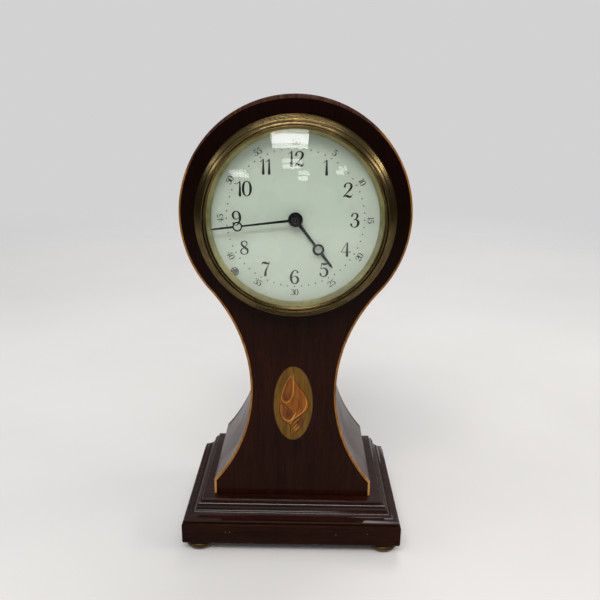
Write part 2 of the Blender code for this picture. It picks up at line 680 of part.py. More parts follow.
def build_train(brass, steel, bodies):
    ends = (FRONT_PLATE[0], FRONT_PLATE[1] + GAP, BACK_PLATE[0] - GAP, BACK_PLATE[1])

    def levels(near, far, pivot=0.5, thick=0.9):
        return (ends[0], ends[1], near, far, ends[2], ends[3], pivot, thick)

    phase = meshed(GREAT_WHEEL, 0.0, INTERMEDIATE_PINION, TO_BARREL + math.pi)
    leaves = toothed(INTERMEDIATE_PINION, GREAT_MODULE, PINION_LEAF, phase)
    pinion_arbor("intermediate_arbor", leaves, levels(-7.0, -3.5), steel, bodies["intermediate"])
    wheel = ("intermediate_wheel", INTERMEDIATE_WHEEL, INTERMEDIATE_MODULE, 0.9, (1.0, 2.2))
    train_wheel(*wheel, brass, bodies["intermediate"])

    phase = meshed(INTERMEDIATE_WHEEL, 0.0, CENTRE_PINION, TO_INTERMEDIATE + math.pi)
    leaves = toothed(CENTRE_PINION, INTERMEDIATE_MODULE, PINION_LEAF, phase)
    sections = [(circle(0.7, 12), -34.3, FRONT_PLATE[1] + GAP), (circle(1.1, 12), FRONT_PLATE[1] + GAP, 0.0)]
    sections += [(leaves, 0.0, 3.5), (circle(1.1, 12), 3.5, BACK_PLATE[0] - GAP)]
    sections += [(circle(0.7, 12), BACK_PLATE[0] - GAP, 24.0)]
    make("centre_arbor", stack(sections), steel, bodies["minute"])
    train_wheel("centre_wheel", CENTRE_WHEEL, TRAIN_MODULE, 1.1, (6.0, 7.2), brass, bodies["minute"])

    phase = meshed(CENTRE_WHEEL, 0.0, THIRD_PINION, TO_THIRD)
    leaves = toothed(THIRD_PINION, TRAIN_MODULE, PINION_LEAF, phase)
    pinion_arbor("third_arbor", leaves, levels(5.0, 8.2), steel, bodies["third"])
    train_wheel("third_wheel", THIRD_WHEEL, TRAIN_MODULE, 0.9, (-3.0, -1.8), brass, bodies["third"])

    phase = meshed(THIRD_WHEEL, 0.0, FOURTH_PINION, TO_FOURTH)
    leaves = toothed(FOURTH_PINION, TRAIN_MODULE, PINION_LEAF, phase)
    pinion_arbor("fourth_arbor", leaves, levels(-4.0, -0.8), steel, bodies["fourth"])
    train_wheel("fourth_wheel", FOURTH_WHEEL, FOURTH_MODULE, 0.9, (9.5, 10.5), brass, bodies["fourth"])

    phase = meshed(FOURTH_WHEEL, 0.0, ESCAPE_PINION, TO_ESCAPE)
    leaves = toothed(ESCAPE_PINION, FOURTH_MODULE, PINION_LEAF, phase)
    pinion_arbor("escape_arbor", leaves, levels(8.5, 11.5, 0.45, 0.7), steel, bodies["escape"])


def build_escapement(brass, steel, spring_steel, bodies):
    teeth = []
    for k in range(ESCAPE_TEETH):
        for radius, share in ((3.7, 0.0), (ESCAPE_RADIUS, 0.28), (ESCAPE_RADIUS, 0.42), (4.1, 0.5)):
            angle = 2 * math.pi * (k + share) / ESCAPE_TEETH
            teeth.append((radius * math.cos(angle), radius * math.sin(angle)))
    holes = [circle(1.0, 10), *crossings(1.7, 3.1, 3, 0.35)]
    make("escape_wheel", prism(teeth, holes, 3.0, 4.0), brass, bodies["escape"])

    side = [(-1.15, -0.6), (-0.7, -1.3), (-0.5, -2.9), (-1.9, -3.3), (-1.9, -3.9), (0.4, -3.9)]
    side += [(0.7, -1.3), (1.1, -0.7), (6.45, -0.45), (6.75, -1.3), (7.75, -1.3), (7.75, -0.75), (7.15, -0.5)]
    lever = side + [(u, -v) for u, v in reversed(side)]
    turn = TO_BALANCE
    points = clockwise(lever, -turn)
    make("pallet_lever", prism(points, [circle(0.8, 10)], 3.0, 4.0), steel, bodies["lever"])
    sections = [(circle(0.45, 10), FRONT_PLATE[0], FRONT_PLATE[1] + GAP)]
    sections += [(circle(0.5, 10), FRONT_PLATE[1] + GAP, BACK_PLATE[0] - GAP)]
    sections += [(circle(0.45, 10), BACK_PLATE[0] - GAP, BACK_PLATE[1])]
    make("pallet_arbor", stack(sections), steel, bodies["lever"])

    holes = [circle(1.0, 12), *crossings(1.9, 7.0, 2, 0.5)]
    make("balance_wheel", prism(circle(8.0, 32), holes, 7.0, 8.3), brass, bodies["balance"])
    near = FRONT_PLATE[1] + GAP
    staff = [(circle(0.5, 12), FRONT_PLATE[0], near), (circle(0.7, 12), near, 4.4)]
    staff += [(circle(2.0, 16), 4.4, 5.2), (circle(0.7, 12), 5.2, 12.0), (circle(0.3, 12), 12.0, 12.6)]
    make("balance_staff", stack(staff), steel, bodies["balance"])
    spring = spiral_strip(1.2, 4.9, 4, 12, 0.2, 10.0, 10.6)
    make("hairspring", spring, spring_steel, bodies["balance"])

    direction = math.radians(-60)
    tail = [(2.6, -0.9), (9.0, -0.5), (11.5, -0.15), (11.5, 0.15), (9.0, 0.5), (2.6, 0.9)]
    start = math.atan2(0.9, 2.6)
    round_part = arc((0, 0), math.hypot(2.6, 0.9), start, 2 * math.pi - start, 16)
    outline = clockwise(tail + round_part[1:-1], -direction)
    flat = prism(outline, [circle(1.3, 12)], 15.1, 15.9)
    index = make("regulator_index", flat, steel, bodies["regulator"])
    pin_place = clockwise([(6.0, 0.0)], -direction)[0]
    boolean(index, "UNION", "curb_pin", stack([(circle(0.35, 8, pin_place), 9.8, 15.5)]))


def build_motion_work(brass, steel, bodies):
    leaves = toothed(CANNON_PINION, MOTION_MODULE, PINION_LEAF)
    sections = [(circle(1.5, 16), -34.2, -24.0), (leaves, -24.0, -21.4)]
    make("cannon_pinion", stack(sections, bore=circle(1.0, 16)), steel, bodies["minute"])

    phase = meshed(CANNON_PINION, 0.0, MINUTE_WHEEL, TO_MINUTE_WHEEL)
    wheel = toothed(MINUTE_WHEEL, MOTION_MODULE, WHEEL_TOOTH, phase)
    pinion = toothed(MINUTE_PINION, MOTION_MODULE, PINION_LEAF)
    sections = [(pinion, -27.3, -23.3), (wheel, -23.3, -22.3)]
    make("minute_wheel", stack(sections, bore=circle(0.9, 12)), brass, bodies["motion"])

    phase = meshed(MINUTE_PINION, 0.0, HOUR_WHEEL, TO_MINUTE_WHEEL + math.pi)
    wheel = toothed(HOUR_WHEEL, MOTION_MODULE, WHEEL_TOOTH, phase)
    sections = [(circle(2.2, 20), -32.4, -26.4), (wheel, -26.4, -25.4)]
    make("hour_wheel", stack(sections, bore=circle(1.8, 20)), brass, bodies["hour"])

    grip = toothed(18, 0.45, (0.4, 0.4, 1.0, 0.4))
    sections = [(circle(2.2, 20), 17.6, 20.0), (grip, 20.0, 24.0)]
    make("setting_knob", stack(sections, bore=circle(1.0, 12)), brass, bodies["minute"])


# ---------------------------------------------------------------- the clock

def clear_scene():
    for thing in list(bpy.data.objects):
        bpy.data.objects.remove(thing, do_unlink=True)


def build_clock():
    clear_scene()
    mahogany = material("mahogany", (0.045, 0.013, 0.009), 0.0, 0.22)
    red_mahogany = material("red_mahogany", (0.085, 0.022, 0.014), 0.0, 0.25)
    boxwood = material("boxwood", (0.50, 0.23, 0.045), 0.0, 0.4)
    inlay = material("inlay_veneer", (0.38, 0.20, 0.05), 0.0, 0.4)
    brass = material("aged_brass", (0.36, 0.27, 0.11), 1.0, 0.33)
    movement_brass = material("movement_brass", (0.66, 0.50, 0.22), 1.0, 0.28)
    enamel = material("enamel", (0.78, 0.80, 0.73), 0.0, 0.2)
    glass = material("glass", (0.9, 0.93, 0.92), 0.0, 0.03)
    black_steel = material("blued_steel", (0.012, 0.013, 0.018), 0.8, 0.3)
    steel = material("steel", (0.55, 0.55, 0.53), 1.0, 0.25)
    spring_steel = material("spring_steel", (0.14, 0.17, 0.26), 1.0, 0.3)

    dial_axis = axis_at("dial_axis", *CENTRE)
    door_axis = axis_at("door_axis", HINGE_X, DIAL_Z, HINGE_Y)
    places = {
        "minute": CENTRE, "hour": CENTRE, "motion": MOTION, "intermediate": INTERMEDIATE, "barrel": BARREL,
        "winding": BARREL, "third": THIRD, "fourth": FOURTH, "escape": ESCAPE, "lever": PALLETS,
        "balance": BALANCE, "regulator": BALANCE,
    }
    bodies = {name: axis_at(name + "_axis", *place) for name, place in places.items()}

    build_case(mahogany, red_mahogany, boxwood, inlay)
    build_feet(brass)
    build_front(brass, glass, enamel, steel, dial_axis)
    build_frame(movement_brass, steel, dial_axis)
    build_rear(brass, steel, dial_axis, door_axis)
    build_power(movement_brass, steel, spring_steel, bodies["barrel"], bodies["winding"])
    build_click(steel, dial_axis)
    build_train(movement_brass, steel, bodies)
    build_escapement(movement_brass, steel, spring_steel, bodies)
    build_motion_work(movement_brass, steel, bodies)
    build_hands(black_steel, brass, bodies["minute"], bodies["hour"])


build_clock()
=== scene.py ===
"""Balloon mantel clock: the finished surfaces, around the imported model.

The front faces -Y and +Z is up, as in the frame. Sizes here are in millimetres, and piece() turns them
into metres. Main places come from the frame's own boxes.
"""

import json
from math import acos, asin, atan2, cos, hypot, pi, radians, sin, sqrt, tau

import bmesh
import bpy
from mathutils import Matrix, Vector


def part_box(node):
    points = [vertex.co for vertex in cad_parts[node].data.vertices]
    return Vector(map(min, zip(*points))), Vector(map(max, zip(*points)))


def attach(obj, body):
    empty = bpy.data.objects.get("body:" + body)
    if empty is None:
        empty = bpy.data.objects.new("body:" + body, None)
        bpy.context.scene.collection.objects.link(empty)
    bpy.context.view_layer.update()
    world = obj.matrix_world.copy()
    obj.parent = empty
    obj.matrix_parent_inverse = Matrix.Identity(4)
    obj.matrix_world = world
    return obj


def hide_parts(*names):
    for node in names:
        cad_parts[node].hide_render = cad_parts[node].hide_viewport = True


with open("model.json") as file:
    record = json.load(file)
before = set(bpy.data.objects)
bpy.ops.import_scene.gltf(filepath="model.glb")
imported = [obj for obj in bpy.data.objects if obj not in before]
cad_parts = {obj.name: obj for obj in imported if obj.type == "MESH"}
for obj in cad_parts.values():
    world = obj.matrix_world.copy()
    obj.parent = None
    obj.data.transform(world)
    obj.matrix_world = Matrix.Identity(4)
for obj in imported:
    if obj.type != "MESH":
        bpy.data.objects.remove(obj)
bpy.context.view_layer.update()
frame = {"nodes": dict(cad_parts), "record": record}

MM = 0.001


def box_mm(node):
    return [[value / MM for value in corner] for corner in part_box(node)]


def centre_mm(node):
    return [(a + b) / 2 for a, b in zip(*box_mm(node))]


# ---- places, from the frame

PANEL_LOW, PANEL_HIGH = box_mm("front_panel")
CASE_FRONT, PANEL_REAR = PANEL_LOW[1], PANEL_HIGH[1]
CASE_BOTTOM, CASE_TOP = PANEL_LOW[2], PANEL_HIGH[2]
CASE_REAR = box_mm("back_panel")[1][1]
BACK_BOARD_FRONT = box_mm("back_panel")[0][1]
HEAD_RADIUS = PANEL_HIGH[0]
HEAD_Z = CASE_TOP - HEAD_RADIUS
BAND_THICKNESS = 4.0
VENEER = 0.6
FLARE_HALF_WIDTH = box_mm("case_floor")[1][0] + BAND_THICKNESS + 0.3
SWEEP_RADIUS = 82.0
SWEEP_X = 104.65
SWEEP_Z = HEAD_Z - sqrt((HEAD_RADIUS + SWEEP_RADIUS) ** 2 - SWEEP_X**2)
LINE_AT_SIDES, LINE_AT_HEAD, LINE_AT_TOP = 1.1, 0.9, 2.0
BOARD_SCREWS = ((-34.0, 40.0), (34.0, 40.0), (-17.0, 104.0), (17.0, 104.0), (0.0, 232.0))

DIAL_LOW, DIAL_HIGH = box_mm("dial")
DIAL_Z = centre_mm("dial")[2]
DIAL_RADIUS = DIAL_HIGH[0]
DIAL_FACE, DIAL_REAR = DIAL_LOW[1], DIAL_HIGH[1]
DIAL_DOME = 0.3
BEZEL_SEAT = box_mm("bezel")[1][1]
GLASS_LOW, GLASS_HIGH = box_mm("dial_glass")
GLASS_RADIUS = GLASS_HIGH[0]
MINUTE_ANGLE = radians(262.8)
HOUR_ANGLE = radians(141.9)

INLAY_LOW, INLAY_HIGH = box_mm("shell_inlay")
INLAY_Z = centre_mm("shell_inlay")[2]
INLAY_HALF = (INLAY_HIGH[0], (INLAY_HIGH[2] - INLAY_LOW[2]) / 2)

BLOCK_LOW, BLOCK_HIGH = box_mm("plinth_block")
MOULD_LOW, MOULD_HIGH = box_mm("plinth_moulding")
PLINTH_HALF = BLOCK_HIGH[0]
PLINTH_FRONT, PLINTH_REAR = BLOCK_LOW[1], BLOCK_HIGH[1]
# x, and the height above the middle of the band
PINS = ((-35.5, 1.5), (-33.2, 1.7), (24.0, 0.9), (41.0, 1.9))

RING_FRONT = box_mm("rear_ring")[0][1]
RING_REAR = RING_FRONT + 0.6
RING_SCREW_CIRCLE = 46.0
DOOR_FRONT = RING_REAR + 0.3
HINGE_X, HINGE_Y = -48.8, 42.4


# ---- node materials

def rgb(*values):
    """A linear colour from the usual 0 to 255 values."""
    bright = [value / 255 for value in values]
    return (*[v / 12.92 if v <= 0.04045 else ((v + 0.055) / 1.055) ** 2.4 for v in bright], 1.0)


WHITE, BLACK = (1, 1, 1, 1), (0, 0, 0, 1)


def add(tree, kind, values=None, **settings):
    """One shader node. values sets its inputs by name or number: a socket is linked, others are set."""
    made = tree.nodes.new("ShaderNode" + kind)
    for name, value in settings.items():
        setattr(made, name, value)
    for key, value in (values or {}).items():
        socket = made.inputs[key]
        if isinstance(value, bpy.types.NodeSocket):
            tree.links.new(value, socket)
        else:
            socket.default_value = value
    return made


def maths(tree, operation, *values):
    return add(tree, "Math", dict(enumerate(values)), operation=operation).outputs[0]


def mapped(tree, value, low, high, first=0.0, last=1.0, **settings):
    """value, taken from the range low to high on to the range first to last."""
    values = {0: value, 1: low, 2: high, 3: first, 4: last}
    return add(tree, "MapRange", values, **settings).outputs[0]


def object_place(tree):
    """Object coordinates, in metres."""
    return add(tree, "TexCoord").outputs["Object"]


def axes_of(tree, vector):
    return add(tree, "SeparateXYZ", {0: vector}).outputs


def ramp(tree, factor, stops):
    """A colour ramp with (position, colour) stops."""
    made = add(tree, "ValToRGB", {"Fac": factor})
    points = made.color_ramp.elements
    while len(points) < len(stops):
        points.new(0.5)
    for point, (position, colour) in zip(points, stops):
        point.position = position
        point.color = colour
    return made.outputs["Color"]


def blend_colours(tree, factor, first, second):
    values = {0: factor, 6: first, 7: second}
    return add(tree, "Mix", values, data_type="RGBA").outputs[2]


def noise(tree, scale, detail=4.0, roughness=0.55, distortion=0.0):
    """Noise over the object's coordinates. scale is per metre, one number or one for each axis."""
    scale = scale if len(scale) == 3 else scale * 3
    vector = add(tree, "Mapping", {0: object_place(tree), 3: scale}).outputs[0]
    values = {"Vector": vector, "Scale": 1.0, "Detail": detail, "Roughness": roughness}
    values["Distortion"] = distortion
    return add(tree, "TexNoise", values).outputs["Fac"]


def fresh(name, coat=0.0, coat_rough=0.03, specular=0.5, metallic=0.0, rough=0.5):
    """A new material with plain values set on its shader's own sockets."""
    made = bpy.data.materials.new(name)
    made.use_nodes = True
    shader = made.node_tree.nodes["Principled BSDF"]
    values = {"Coat Weight": coat, "Coat Roughness": coat_rough, "Specular IOR Level": specular}
    values.update({"Metallic": metallic, "Roughness": rough})
    for key, value in values.items():
        shader.inputs[key].default_value = value
    return made, made.node_tree, shader


def dress(made, shader, colour, rough=None, height=None, distance=0.00002, strength=1.0):
    """Links a material's colour and roughness, and a bump made from height."""
    tree = made.node_tree
    sources = {"Base Color": colour, "Roughness": rough}
    if height is not None:
        values = {"Height": height, "Distance": distance, "Strength": strength}
        sources["Normal"] = add(tree, "Bump", values).outputs["Normal"]
    for key, source in sources.items():
        if source is not None:
            tree.links.new(source, shader.inputs[key])
    return made


def mix_shaders(tree, factor, first, second, output="Material Output"):
    both = add(tree, "MixShader", {0: factor, 1: first, 2: second}).outputs[0]
    tree.links.new(both, tree.nodes[output].inputs["Surface"])


ALONG_X, ALONG_Z = 0, 2


def polished_wood(name, dark, light, along, polish, specular=0.15, coat_rough=0.1, darkened=None):
    """Wood with long streaks of figure, short dark pores, and a French polish over it.

    darkened is (low, high) heights in millimetres between which the wood turns darker, upwards.
    """
    made, tree, shader = fresh(name, polish, coat_rough, specular)
    coarse, fine, dashes = [260.0] * 3, [1500.0] * 3, [2600.0] * 3
    coarse[along], fine[along], dashes[along] = 14.0, 60.0, 170.0
    broad = noise(tree, coarse, 5.0, 0.6, 0.6)
    streak = noise(tree, fine, 3.0, 0.6)
    pore = noise(tree, dashes, 2.0, 0.5)
    cloud = noise(tree, [22.0], 3.0)
    mixed = maths(tree, "MULTIPLY_ADD", streak, 0.45, maths(tree, "MULTIPLY", broad, 0.55))
    mixed = maths(tree, "MULTIPLY_ADD", cloud, 0.3, mixed)
    middle = tuple((a + b) / 2 for a, b in zip(dark, light))
    colour = ramp(tree, mixed, [(0.45, dark), (0.62, middle), (0.8, light)])
    holes = ramp(tree, pore, [(0.36, WHITE), (0.47, BLACK)])
    deep = tuple(v * 0.35 for v in dark[:3]) + (1.0,)
    colour = blend_colours(tree, maths(tree, "MULTIPLY", holes, 0.5), colour, deep)
    if darkened:
        low, high = [height * MM for height in darkened]
        upwards = mapped(tree, axes_of(tree, object_place(tree))[2], low, high, 0.0, 0.75)
        colour = blend_colours(tree, upwards, colour, deep)
    rough = mapped(tree, cloud, 0.3, 0.7, 0.3, 0.46)
    height = maths(tree, "MULTIPLY_ADD", streak, 0.5, maths(tree, "MULTIPLY", holes, -1.0))
    return dress(made, shader, colour, rough, height, strength=0.35)


def string_wood():
    """Boxwood line: orange-yellow down the sides, darkened over the head, paler at the very bottom."""
    made, tree, shader = fresh("boxwood_line", 0.2, 0.15, 0.15)
    parts = axes_of(tree, object_place(tree))
    slant = maths(tree, "MULTIPLY_ADD", parts[0], -0.199, parts[2])
    head = mapped(tree, slant, (HEAD_Z + 30.0) * MM, (HEAD_Z + 35.5) * MM)
    foot = mapped(tree, parts[2], (CASE_BOTTOM + 12.0) * MM, (CASE_BOTTOM + 6.0) * MM)
    flecks = noise(tree, (900.0, 900.0, 160.0))
    side = ramp(tree, flecks, [(0.3, rgb(100, 60, 16)), (0.7, rgb(150, 98, 30))])
    colour = blend_colours(tree, foot, side, rgb(176, 122, 52))
    dark = ramp(tree, flecks, [(0.35, rgb(42, 20, 13)), (0.7, rgb(84, 48, 30))])
    colour = blend_colours(tree, head, colour, dark)
    return dress(made, shader, colour, mapped(tree, flecks, 0.0, 1.0, 0.35, 0.55), flecks, strength=0.3)


def veneer(name, dark, light, scale=(700.0, 700.0, 90.0), shade=None):
    """Thin marquetry veneer. shade is (x, z, radius) in millimetres of a patch scorched darker in sand."""
    made, tree, shader = fresh(name, 0.15, 0.15, 0.1)
    grain = noise(tree, scale)
    colour = ramp(tree, grain, [(0.3, dark), (0.7, light)])
    if shade:
        x, z, radius = shade
        values = {0: object_place(tree), 1: (x * MM, CASE_FRONT * MM, z * MM)}
        away = add(tree, "VectorMath", values, operation="DISTANCE").outputs["Value"]
        colour = blend_colours(tree, mapped(tree, away, radius * MM, 0.0, 0.0, 0.85), colour, rgb(70, 30, 14))
    return dress(made, shader, colour, mapped(tree, grain, 0.0, 1.0, 0.32, 0.5), grain, strength=0.25)


def metal(name, dark, light, rough, grain=(300.0,), scratch=0.25):
    """Metal with patches of tarnish and fine polishing marks."""
    made, tree, shader = fresh(name, metallic=1.0)
    patches = noise(tree, [70.0], 5.0, 0.6)
    marks = noise(tree, grain, 3.0, 0.6)
    mixed = maths(tree, "MULTIPLY_ADD", marks, 0.35, maths(tree, "MULTIPLY", patches, 0.65))
    colour = ramp(tree, mixed, [(0.35, dark), (0.62, light)])
    roughness = mapped(tree, mixed, 0.3, 0.7, rough[1], rough[0])
    return dress(made, shader, colour, roughness, marks, 0.00001, scratch)


def enamel():
    made, tree, shader = fresh("dial_enamel", 0.2, 0.12, 0.25)
    cloud = noise(tree, [40.0], 3.0)
    orange_peel = noise(tree, [420.0], 2.0)
    colour = ramp(tree, cloud, [(0.35, rgb(191, 199, 189)), (0.65, rgb(197, 205, 195))])
    return dress(made, shader, colour, mapped(tree, cloud, 0.0, 1.0, 0.22, 0.32), orange_peel, 0.00001, 0.03)


def numeral_paint():
    made, tree, shader = fresh("numeral_paint", specular=0.4)
    cloud = noise(tree, [500.0], 3.0)
    colour = ramp(tree, cloud, [(0.3, rgb(12, 12, 12)), (0.7, rgb(30, 29, 27))])
    return dress(made, shader, colour, mapped(tree, cloud, 0.0, 1.0, 0.25, 0.45))


def glass():
    """Clear glass that lets lamps through, with a faint wiping haze on it."""
    made, tree, shader = fresh("clock_glass")
    tree.nodes.remove(shader)
    rough = mapped(tree, noise(tree, [60.0]), 0.3, 0.7, 0.012, 0.035)
    clear = add(tree, "BsdfTransparent", {"Color": (0.97, 0.985, 0.965, 1.0)}).outputs[0]
    shine = add(tree, "BsdfGlossy", {"Color": WHITE, "Roughness": rough}).outputs[0]
    facing = add(tree, "LayerWeight", {"Blend": 0.5}).outputs["Facing"]
    edge = maths(tree, "MULTIPLY_ADD", maths(tree, "POWER", facing, 5.0), 0.9, 0.035)
    mix_shaders(tree, edge, clear, shine)
    return made


def pale_floor():
    """A pale floor that fades out with distance, so that no horizon shows."""
    made, tree, shader = fresh("pale_floor", specular=0.2, rough=0.85)
    cloud = noise(tree, [3.0])
    dress(made, shader, ramp(tree, cloud, [(0.3, rgb(190, 188, 186)), (0.7, rgb(198, 196, 194))]))
    place = {0: object_place(tree)}
    away = add(tree, "VectorMath", place, operation="LENGTH").outputs["Value"]
    fade = mapped(tree, away, 0.35, 1.5, interpolation_type="SMOOTHSTEP")
    gone = add(tree, "BsdfTransparent").outputs[0]
    mix_shaders(tree, fade, shader.outputs[0], gone)
    return made


PANEL_WOOD = polished_wood("panel_mahogany", rgb(18, 5, 1), rgb(40, 15, 6), ALONG_Z, 0.08, 0.03,
                           darkened=(105.0, 150.0))
SIDE_WOOD = polished_wood("side_mahogany", rgb(20, 8, 6), rgb(56, 24, 17), ALONG_Z, 0.2)
PLINTH_WOOD = polished_wood("plinth_mahogany", rgb(11, 4, 2), rgb(38, 16, 7), ALONG_X, 0.06, 0.02)
MOULDING_WOOD = polished_wood("moulding_mahogany", rgb(12, 4, 2), rgb(40, 15, 8), ALONG_X, 0.55, 0.03, 0.08)
BACK_WOOD = polished_wood("back_mahogany", rgb(32, 14, 9), rgb(80, 40, 25), ALONG_Z, 0.12)
FILLER = veneer("pin_filler", rgb(48, 30, 24), rgb(86, 58, 46), scale=[2000.0])
STRING_WOOD = string_wood()
OVAL_VENEER = veneer("oval_veneer", rgb(74, 46, 6), rgb(106, 76, 14))
OVAL_LINE = veneer("oval_line", rgb(28, 15, 10), rgb(46, 26, 16))
SHELL_VENEER = veneer("shell_veneer", rgb(96, 50, 8), rgb(138, 78, 18), shade=(-2.2, INLAY_Z - 6.6, 4.5))
LOBE_VENEER = veneer("lobe_veneer", rgb(84, 48, 12), rgb(120, 72, 18), shade=(2.5, INLAY_Z - 10.5, 5.0))
SPIRE_VENEER = veneer("spire_veneer", rgb(92, 48, 12), rgb(124, 68, 18), shade=(-3.6, INLAY_Z + 1.5, 6.0))
PALE_VENEER = veneer("pale_veneer", rgb(150, 100, 34), rgb(184, 130, 54))
SCORCHED_VENEER = veneer("scorched_veneer", rgb(40, 20, 6), rgb(66, 34, 10))
AGED_BRASS = metal("aged_brass", rgb(70, 58, 34), rgb(106, 90, 56), (0.18, 0.3), scratch=0.04)
FOOT_BRASS = metal("foot_brass", rgb(52, 44, 26), rgb(104, 86, 50), (0.2, 0.4), scratch=0.1)
DOOR_BRASS = metal("door_brass", rgb(120, 96, 50), rgb(166, 138, 80), (0.2, 0.36), scratch=0.08)
SIGHT_BRASS = metal("sight_brass", rgb(150, 140, 96), rgb(188, 178, 130), (0.35, 0.5), scratch=0.05)
MOVEMENT_BRASS = metal("movement_brass", rgb(168, 132, 66), rgb(206, 170, 96), (0.16, 0.34),
                       (900.0, 900.0, 120.0))
BLUED_STEEL = metal("blued_steel", rgb(12, 13, 18), rgb(24, 26, 36), (0.2, 0.36))
STEEL = metal("polished_steel", rgb(120, 120, 118), rgb(172, 172, 168), (0.14, 0.32))
SPRING_STEEL = metal("spring_steel", rgb(46, 52, 70), rgb(84, 92, 110), (0.18, 0.3))
DIAL_ENAMEL = enamel()
NUMERAL_PAINT = numeral_paint()
CLOCK_GLASS = glass()


# ---- mesh building

def new_object(name, data):
    made = bpy.data.objects.new(name, data)
    bpy.context.scene.collection.objects.link(made)
    return made


def piece(name, bm, finish, stands_for=None, body="case", bevel=0.0, sharp=35.0):
    """One finished piece, built in millimetres, rides on a body and may stand for a CAD node."""
    bmesh.ops.recalc_face_normals(bm, faces=bm.faces[:])
    bmesh.ops.scale(bm, vec=(MM, MM, MM), verts=bm.verts[:])
    mesh = bpy.data.meshes.new(name)
    bm.to_mesh(mesh)
    bm.free()
    mesh.materials.append(finish)
    mesh.shade_smooth()
    mesh.set_sharp_from_angle(angle=radians(sharp))
    made = new_object(name, mesh)
    if bevel:
        modifier = made.modifiers.new("edges", "BEVEL")
        modifier.width = bevel * MM
        modifier.segments = 2
        modifier.limit_method = "ANGLE"
        modifier.angle_limit = radians(sharp)
        modifier.harden_normals = True
    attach(made, body)
    if stands_for:
        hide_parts(stands_for)


def arc(centre, radius, first, last, pieces):
    steps = (first + (last - first) * i / pieces for i in range(pieces + 1))
    return [(centre[0] + radius * cos(a), centre[1] + radius * sin(a)) for a in steps]


def circle(radius, sides, centre=(0.0, 0.0)):
    return arc(centre, radius, 0.0, tau, sides)[:-1]


def loop_at(bm, points, y):
    return [bm.verts.new((x, y, z)) for x, z in points]


def loops_of(bm, rows):
    """One loop for each (points, y)."""
    return [loop_at(bm, points, y) for points, y in rows]


def wall(bm, first, second, closed=True):
    count = len(first)
    for i in range(count if closed else count - 1):
        j = (i + 1) % count
        bm.faces.new((first[i], first[j], second[j], second[i]))


def walls(bm, loops, closed=True, ring=False, capped=False):
    """Walls from each loop to the next, and in a ring from the last to the first."""
    for first, second in zip(loops, loops[1:] + (loops[:1] if ring else [])):
        wall(bm, first, second, closed)
    if capped:
        bm.faces.new(loops[0])
        bm.faces.new(loops[-1])


def slab(bm, outline, front, rear):
    walls(bm, loops_of(bm, [(outline, front), (outline, rear)]), capped=True)


def fill(bm, *loops):
    """The flat face inside the first loop, less the others."""
    edges = []
    for loop in loops:
        for pair in zip(loop, loop[1:] + loop[:1]):
            edges.append(bm.edges.get(pair) or bm.edges.new(pair))
    bmesh.ops.triangle_fill(bm, use_beauty=True, use_dissolve=False, edges=edges)


def prism(outline, holes, front, rear):
    bm = bmesh.new()
    ends = [[loop_at(bm, points, y) for points in (outline, *holes)] for y in (front, rear)]
    for first, second in zip(*ends):
        wall(bm, first, second)
    for loops in ends:
        fill(bm, *loops)
    return bm


def turned(profile, sides, ring=False):
    """A profile of (radius, y) turned about Y. A ring's profile closes on itself."""
    bm = bmesh.new()
    loops = []
    for radius, y in profile:
        loops.append(loop_at(bm, circle(radius, sides), y) if radius else [bm.verts.new((0, y, 0))])
    for first, second in zip(loops, loops[1:] + (loops[:1] if ring else [])):
        if len(first) > 1 and len(second) > 1:
            wall(bm, first, second)
            continue
        tip, rim = (first[0], second) if len(first) == 1 else (second[0], first)
        for i in range(len(rim)):
            bm.faces.new((tip, rim[i], rim[(i + 1) % len(rim)]))
    return bm


def moved(bm, x=0.0, y=0.0, z=0.0, matrix=None):
    if matrix:
        bmesh.ops.transform(bm, matrix=matrix, verts=bm.verts[:])
    bmesh.ops.translate(bm, vec=(x, y, z), verts=bm.verts[:])
    return bm


def on_dial_axis(profile, sides, ring=False):
    return moved(turned(profile, sides, ring), z=DIAL_Z)


def from_level(level, points):
    """Points of (distance, height above a level) as (distance, height)."""
    return [(distance, level + height) for distance, height in points]


def bead(first, last, bulge, pieces):
    """Profile points from first to last that bow outwards, to the left of the way they run."""
    (r0, y0), (r1, y1) = first, last
    length = hypot(r1 - r0, y1 - y0)
    across = (-(y1 - y0) / length, (r1 - r0) / length)
    points = []
    for i in range(pieces + 1):
        t = i / pieces
        lift = bulge * sin(pi * t)
        points.append((r0 + (r1 - r0) * t + across[0] * lift, y0 + (y1 - y0) * t + across[1] * lift))
    return points


def smooth_path(points, steps, closed=False):
    """A Catmull-Rom curve through points of any length."""
    count = len(points)
    made = []
    for i in range(count if closed else count - 1):
        near = [k % count if closed else min(max(k, 0), count - 1) for k in range(i - 1, i + 3)]
        for s in range(steps):
            t = s / steps
            weights = (
                -0.5 * t + t * t - 0.5 * t**3,
                1 - 2.5 * t * t + 1.5 * t**3,
                0.5 * t + 2 * t * t - 1.5 * t**3,
                -0.5 * t * t + 0.5 * t**3,
            )
            axes = zip(*[points[k] for k in near])
            made.append(tuple(sum(w * value for w, value in zip(weights, axis)) for axis in axes))
    return made if closed else made + [tuple(points[-1])]


def offset(points, width):
    """An open line moved to its right by width(x, z), with mitred corners."""
    made = []
    for i, (x, z) in enumerate(points):
        normals = []
        for j, k in ((i - 1, i), (i, i + 1)):
            if j < 0 or k >= len(points):
                continue
            dx, dz = points[k][0] - points[j][0], points[k][1] - points[j][1]
            length = hypot(dx, dz)
            normals.append((dz / length, -dx / length))
        nx, nz = sum(n[0] for n in normals), sum(n[1] for n in normals)
        share = 2 / (nx * nx + nz * nz) if len(normals) == 2 else 1.0
        w = width(x, z)
        made.append((x + nx * share * w, z + nz * share * w))
    return made


# ---- case

